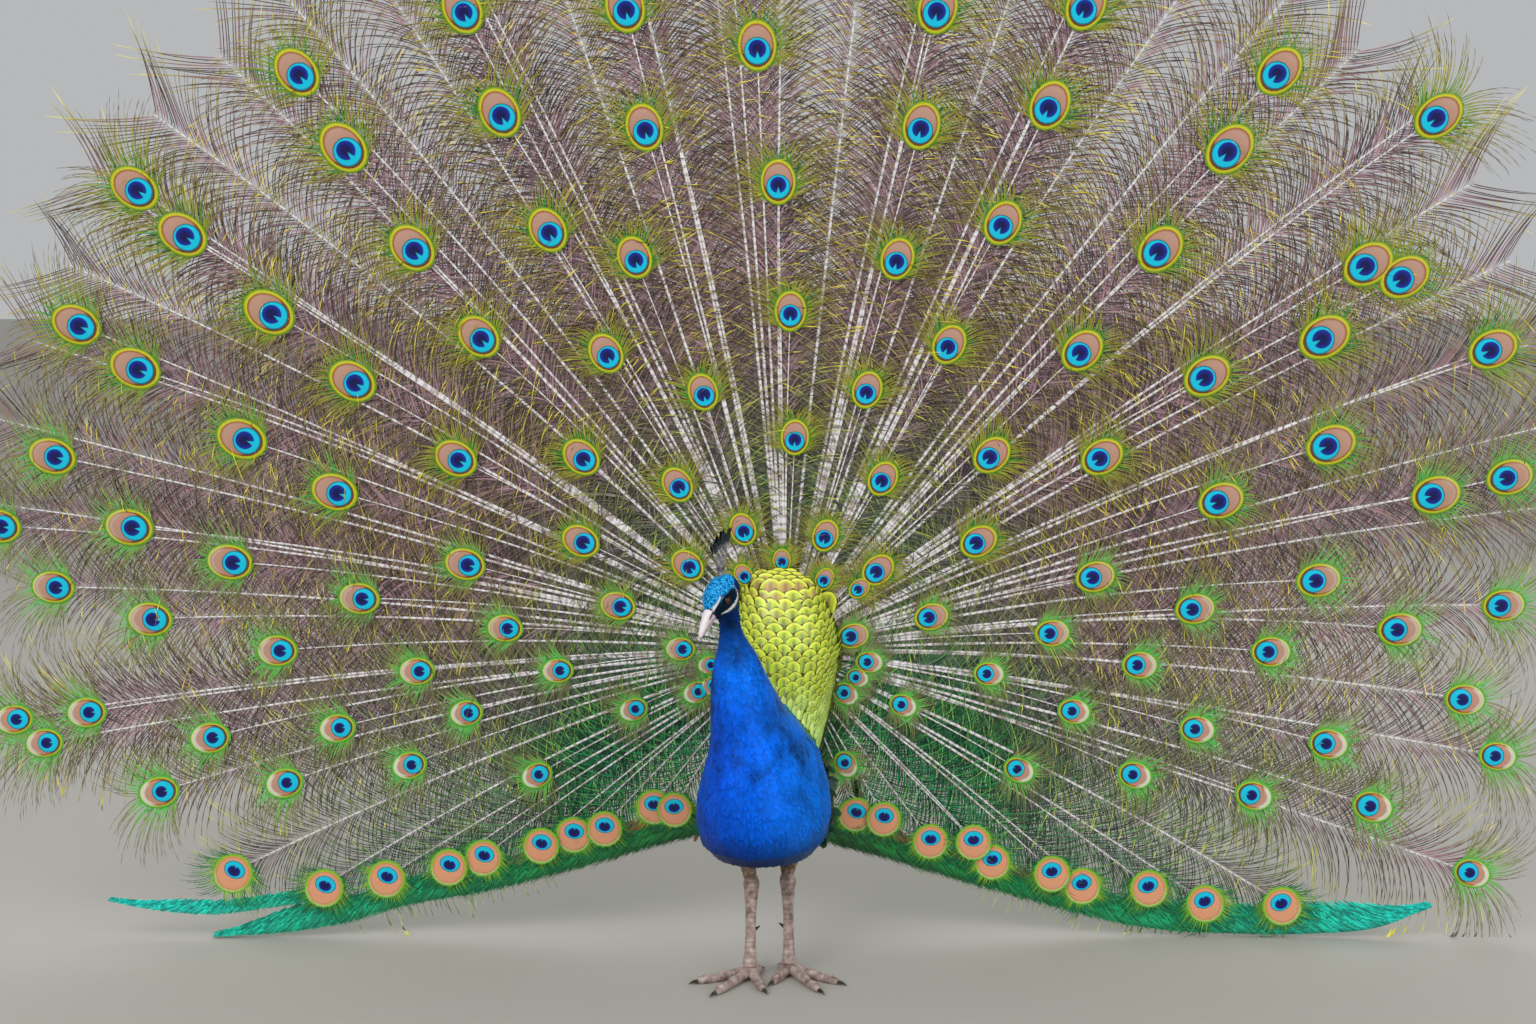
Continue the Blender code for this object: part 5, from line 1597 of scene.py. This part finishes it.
def make_flight_feathers():
    """Ten rufous flight feathers hang behind each wing, fanned a little and overlapping."""
    finish = vane_finish("flight_feather", ((0.0, srgb(168, 92, 46)), (0.7, srgb(186, 104, 54)),
                                            (1.0, srgb(96, 56, 36))), srgb(120, 78, 48))
    shape = leaf(14, 7, belly=0.75, tip=0.45)
    count = 10
    share = np.linspace(0, 1, count)[:, None]
    for side, sign in (("left", 1), ("right", -1)):
        low, high = box_of(f"primaries_{side}")
        out_near, out_far = (low[0], high[0]) if sign > 0 else (high[0], low[0])
        root = np.concatenate([out_near + sign * 0.006 + sign * 0.01 * share,
                               low[1] + 0.004 + 0.012 * share, high[2] - 0.01 - 0.07 * share], -1)
        tip = np.concatenate([out_near + (out_far - out_near) * (0.6 + 0.32 * share),
                              high[1] - 0.085 + 0.08 * share, low[2] + 0.02 + 0.07 * (1 - share) ** 1.5],
                             -1)
        facing = np.broadcast_to(np.array([sign * 1.0, -0.25, 0.25]), root.shape)
        vanes = long_feathers(root, tip, facing, 0.024, 0.004, shape)
        coat_piece(f"flight_feathers_{side}", vanes, root, shape, finish,
                   {"chance": RANDOM.uniform(0, 1, count)}, (f"primaries_{side}",),
                   together(np.full(count, 0.5), (np.arange(count) + 0.5) / count))


def make_tail():
    """Twenty stiff tail feathers fanned behind the train, which they prop up."""
    finish = vane_finish("tail_feather", ((0.0, srgb(112, 100, 84)), (0.6, srgb(134, 114, 90)),
                                          (1.0, srgb(178, 162, 134))), srgb(196, 182, 156), bars=38.0)
    nodes = ("tail_left", "tail_middle", "tail_right")
    count = 20
    turn = np.radians(10 + 160 * (np.arange(count) + 0.5) / count)
    reach = (box_of(*nodes)[1][2] - HUB[2]) * (0.90 + 0.10 * np.sin(turn)) * 0.99
    way = together(np.cos(turn), np.sin(turn))
    inner, outer = way * 0.030, way * reach[:, None]
    stagger = 0.0022 * (np.arange(count) % 2) + 0.0005
    root = fan_place(inner[:, 0], inner[:, 1], TAIL_BEHIND + stagger)
    tip = fan_place(outer[:, 0], outer[:, 1], TAIL_BEHIND + stagger)
    shape = leaf(18, 7, belly=0.88, tip=0.4)
    facing = np.broadcast_to(np.array([0.0, 1.0, 0.1]), root.shape)
    vanes = long_feathers(root, tip, facing, 0.078, 0.008, shape)
    coat_piece("tail_feathers", vanes, root, shape, finish,
               {"chance": RANDOM.uniform(0, 1, count)}, nodes,
               together((np.arange(count) + 0.5) / count, np.full(count, 0.5)))


def make_undertail():
    """A loose ball of soft grey feathers under the tail."""
    finish = Finish("under_tail_down", 0.8, Sheen_Weight=0.3)
    along, chance = finish.facts("along", "chance")
    tone = along * 0.6 + chance * 0.4
    finish.colour(
        tone.ramp(((0.0, srgb(84, 76, 68)), (0.5, srgb(142, 132, 118)), (1.0, srgb(196, 188, 174)))))

    def lie(roots):
        """Away from the top of the ball's front, and a little down."""
        low, high = box_of("undertail")
        away = roots - np.array([HUB[0], low[1], high[2]])
        return away * np.array([1.0, 0.6, 1.0]) + np.array([0, 0.01, -0.02])

    cover_node("under_tail_feathers", ("undertail",), (0.0052, 0.024, 0.0058, 0.007), lie,
               finish.material, depth=0.006, shape=leaf(5, 3))


# ---- legs ----


def leg_finish():
    """Grey-brown horn, with painted shade in the creases where each plate begins, over fine round scales.
    """
    finish = Finish("leg_scales", 0.55, Specular_IOR_Level=0.4)
    colour = finish.noise(90.0).ramp(((0.30, srgb(124, 104, 96)), (0.50, srgb(172, 150, 142)),
                                      (0.72, srgb(206, 190, 184))))
    # Painted shade darkens the crease at the start of each plate.
    painted_crease_shade = finish.fact("saw").ramp(((0.0, grey(0.50)), (0.25, grey(1.0)), (1.0, grey(1.08))))
    finish.colour(finish.multiplied(colour, painted_crease_shade))
    finish.bump(finish.cells(330.0), 0.35, 0.0008)
    return finish.material


def shank(side, sign):
    """A tube from above the hock to the ankle, and how far along its plate each ring is: the
    radius swells along every plate and drops back, like a saw."""
    low, high = box_of(f"tarsus_{side}")
    half, lean = 0.0085, sign * 0.001
    hock = np.array([(low[0] + high[0]) / 2 - lean, high[1] - half, high[2] - 0.004])
    ankle = np.array([(low[0] + high[0]) / 2 + lean, low[1] + half + 0.001, 0.016])
    share = np.linspace(-0.10, 1.0, 110)
    saw = (share * LEG_PLATES) % 1.0
    centres = hock + (ankle - hock) * share[:, None]
    radius = curve_at(SHANK_RADII, share) * (1.0 + 0.05 * saw)
    return tubes(centres[None], radius[None], 20, 1.12)[0], saw


def toe(side, name, sole):
    """A tube from the middle of the foot to a claw, with plates as on the shank. It swells at two
    or three knuckles, sinks towards the floor, where it is flat, and rounds off at the claw."""
    low, high = box_of(f"claw_{side}_{name}")
    run = (low + high) / 2 - sole
    run[2] = 0
    length = np.linalg.norm(run)
    run = run / length
    knuckles = 2 if name in ("hind", "inner") else 3
    inside_claw, lift = (0.75 * 0.0065, 0.003) if name == "hind" else (0.0065, 0.007)
    share = np.linspace(0, 1, 64)
    knuckle = np.sin(share * np.pi * knuckles) ** 2 * (share < 0.86)
    centres = sole + run * ((length - inside_claw) * share)[:, None]
    centres[:, 2] = TOE_RADIUS * 0.84 + lift * (1 - share) ** 2 + 0.0008 * knuckle
    saw = (share * (length / TOE_PLATE)) % 1.0
    radius = TOE_RADIUS * (1.10 - 0.26 * share + 0.12 * knuckle) * (1 + 0.06 * saw)
    rounding = np.sqrt(np.maximum(1 - ((share - 0.93) / 0.07) ** 2, 0.12))
    radius = radius * np.where(share > 0.93, rounding, 1)
    points = tubes(centres[None], radius[None], 16)[0]
    points[..., 2] = np.maximum(points[..., 2], 0.0)
    return points, saw


def foot_pad(sole):
    """A flattened ball that stands on the sole, as rings from its foot to its top."""
    rows, columns = 16, 24
    tilt = np.linspace(np.pi - 0.02, 0.02, rows)[:, None]
    turn = circle(columns)
    ball = together(np.sin(tilt) * np.cos(turn), np.sin(tilt) * np.sin(turn), np.cos(tilt))
    return ball * PAD + sole + np.array([0, 0, PAD[2]]), np.full(rows, 0.6)


def make_legs():
    """Each leg is one piece of closed tubes: the shank, four toes and the pad of the foot."""
    material = leg_finish()
    for side, sign in (("left", 1), ("right", -1)):
        sole = np.array(MOUNTS[f"sole_{side}"]["pos_m"])
        toes = [toe(side, name, sole) for name in ("middle", "outer", "inner", "hind")]
        points, saws, faces, first = [], [], [], 0
        for rings, saw in [shank(side, sign), *toes, foot_pad(sole)]:
            rows, columns = rings.shape[:2]
            points.append(rings.reshape(-1, 3))
            saws.append(np.repeat(saw, columns))
            faces += [first + grid_faces(rows, columns, closed=True), first + end_faces(rows, columns)]
            first += rows * columns
        points = np.concatenate(points)
        low, high = points.min(0), points.max(0)
        flat = (points - low) / (high - low)
        raised = points[:, 2] > 0.02
        bake = together(0.02 + 0.46 * flat[:, 0] + 0.5 * raised,
                        0.02 + 0.96 * np.where(raised, flat[:, 2], flat[:, 1]))
        add_piece(f"leg_{side}_scales", points, faces, material,
                  (f"tarsus_{side}", f"foot_{side}"), {"saw": np.concatenate(saws)}, bake)


def finish_claws():
    """Claws and spurs keep their solids and get dark horn with paler patches."""
    finish = Finish("claw_horn", 0.4)
    finish.colour(finish.noise(240.0, 3.0).ramp(((0.35, srgb(34, 28, 26)), (0.7, srgb(92, 80, 72)))))
    for name, node in frame["nodes"].items():
        if name.startswith(("claw_", "spur_")):
            node.data.materials.clear()
            node.data.materials.append(finish.material)


# ---- stage ----


def make_stage():
    """A pale floor, soft lights all round and the camera in front."""
    mesh = bpy.data.meshes.new("floor")
    side = 30.0
    mesh.from_pydata([(-side, -side, 0), (side, -side, 0), (side, side, 0), (-side, side, 0)], [],
                     [(0, 1, 2, 3)])
    floor_finish = Finish("floor", 0.85)
    floor_finish.colour(srgb(192, 189, 181))
    mesh.materials.append(floor_finish.material)
    floor = bpy.data.objects.new("floor", mesh)
    bpy.context.scene.collection.objects.link(floor)
    world = bpy.data.worlds.new("studio")
    world.use_nodes = True
    world.node_tree.nodes["Background"].inputs["Color"].default_value = (*srgb(226, 228, 230), 1.0)
    world.node_tree.nodes["Background"].inputs["Strength"].default_value = 0.62
    bpy.context.scene.world = world
    lights = (
        ("key", (-2.2, -3.4, 3.4), 3.0, 95.0),
        ("fill", (2.8, -3.0, 2.0), 3.0, 50.0),
        ("back", (0.6, 3.2, 3.0), 3.0, 45.0),
    )
    aim = Vector((0.0, 0.0, 0.6))
    for name, place, size, power in lights:
        light = bpy.data.lights.new(name, "AREA")
        light.size = size
        light.energy = power
        lamp = bpy.data.objects.new(name, light)
        bpy.context.scene.collection.objects.link(lamp)
        lamp.location = place
        lamp.rotation_euler = (aim - Vector(place)).to_track_quat("-Z", "Y").to_euler()
    camera = bpy.data.objects.new("camera", bpy.data.cameras.new("camera"))
    bpy.context.scene.collection.objects.link(camera)
    camera.data.lens = 50.0
    camera.data.sensor_width = 36.0
    middle = (MOUNTS["sole_left"]["pos_m"][0] + MOUNTS["sole_right"]["pos_m"][0]) / 2
    camera.location = (middle - 0.003, HUB[1] - 3.215, 1.06)
    camera.rotation_euler = (math.radians(83), 0, 0)
    bpy.context.scene.camera = camera
    bpy.context.scene.view_settings.view_transform = "Standard"


make_stage()
make_barbs()
make_shafts()
make_eyes_of_train()
make_fringes()
make_green_edge()
make_inner_green()
skin_points, skin_normals, skin_faces = make_skin()
make_coat(skin_points, skin_normals, skin_faces)
make_rump_feathers(skin_points, skin_normals, skin_faces)
make_eyeballs()
make_bill()
make_crest()
make_back_scales(skin_points, skin_faces)
make_wings()
make_flight_feathers()
make_tail()
make_undertail()
make_legs()
finish_claws()
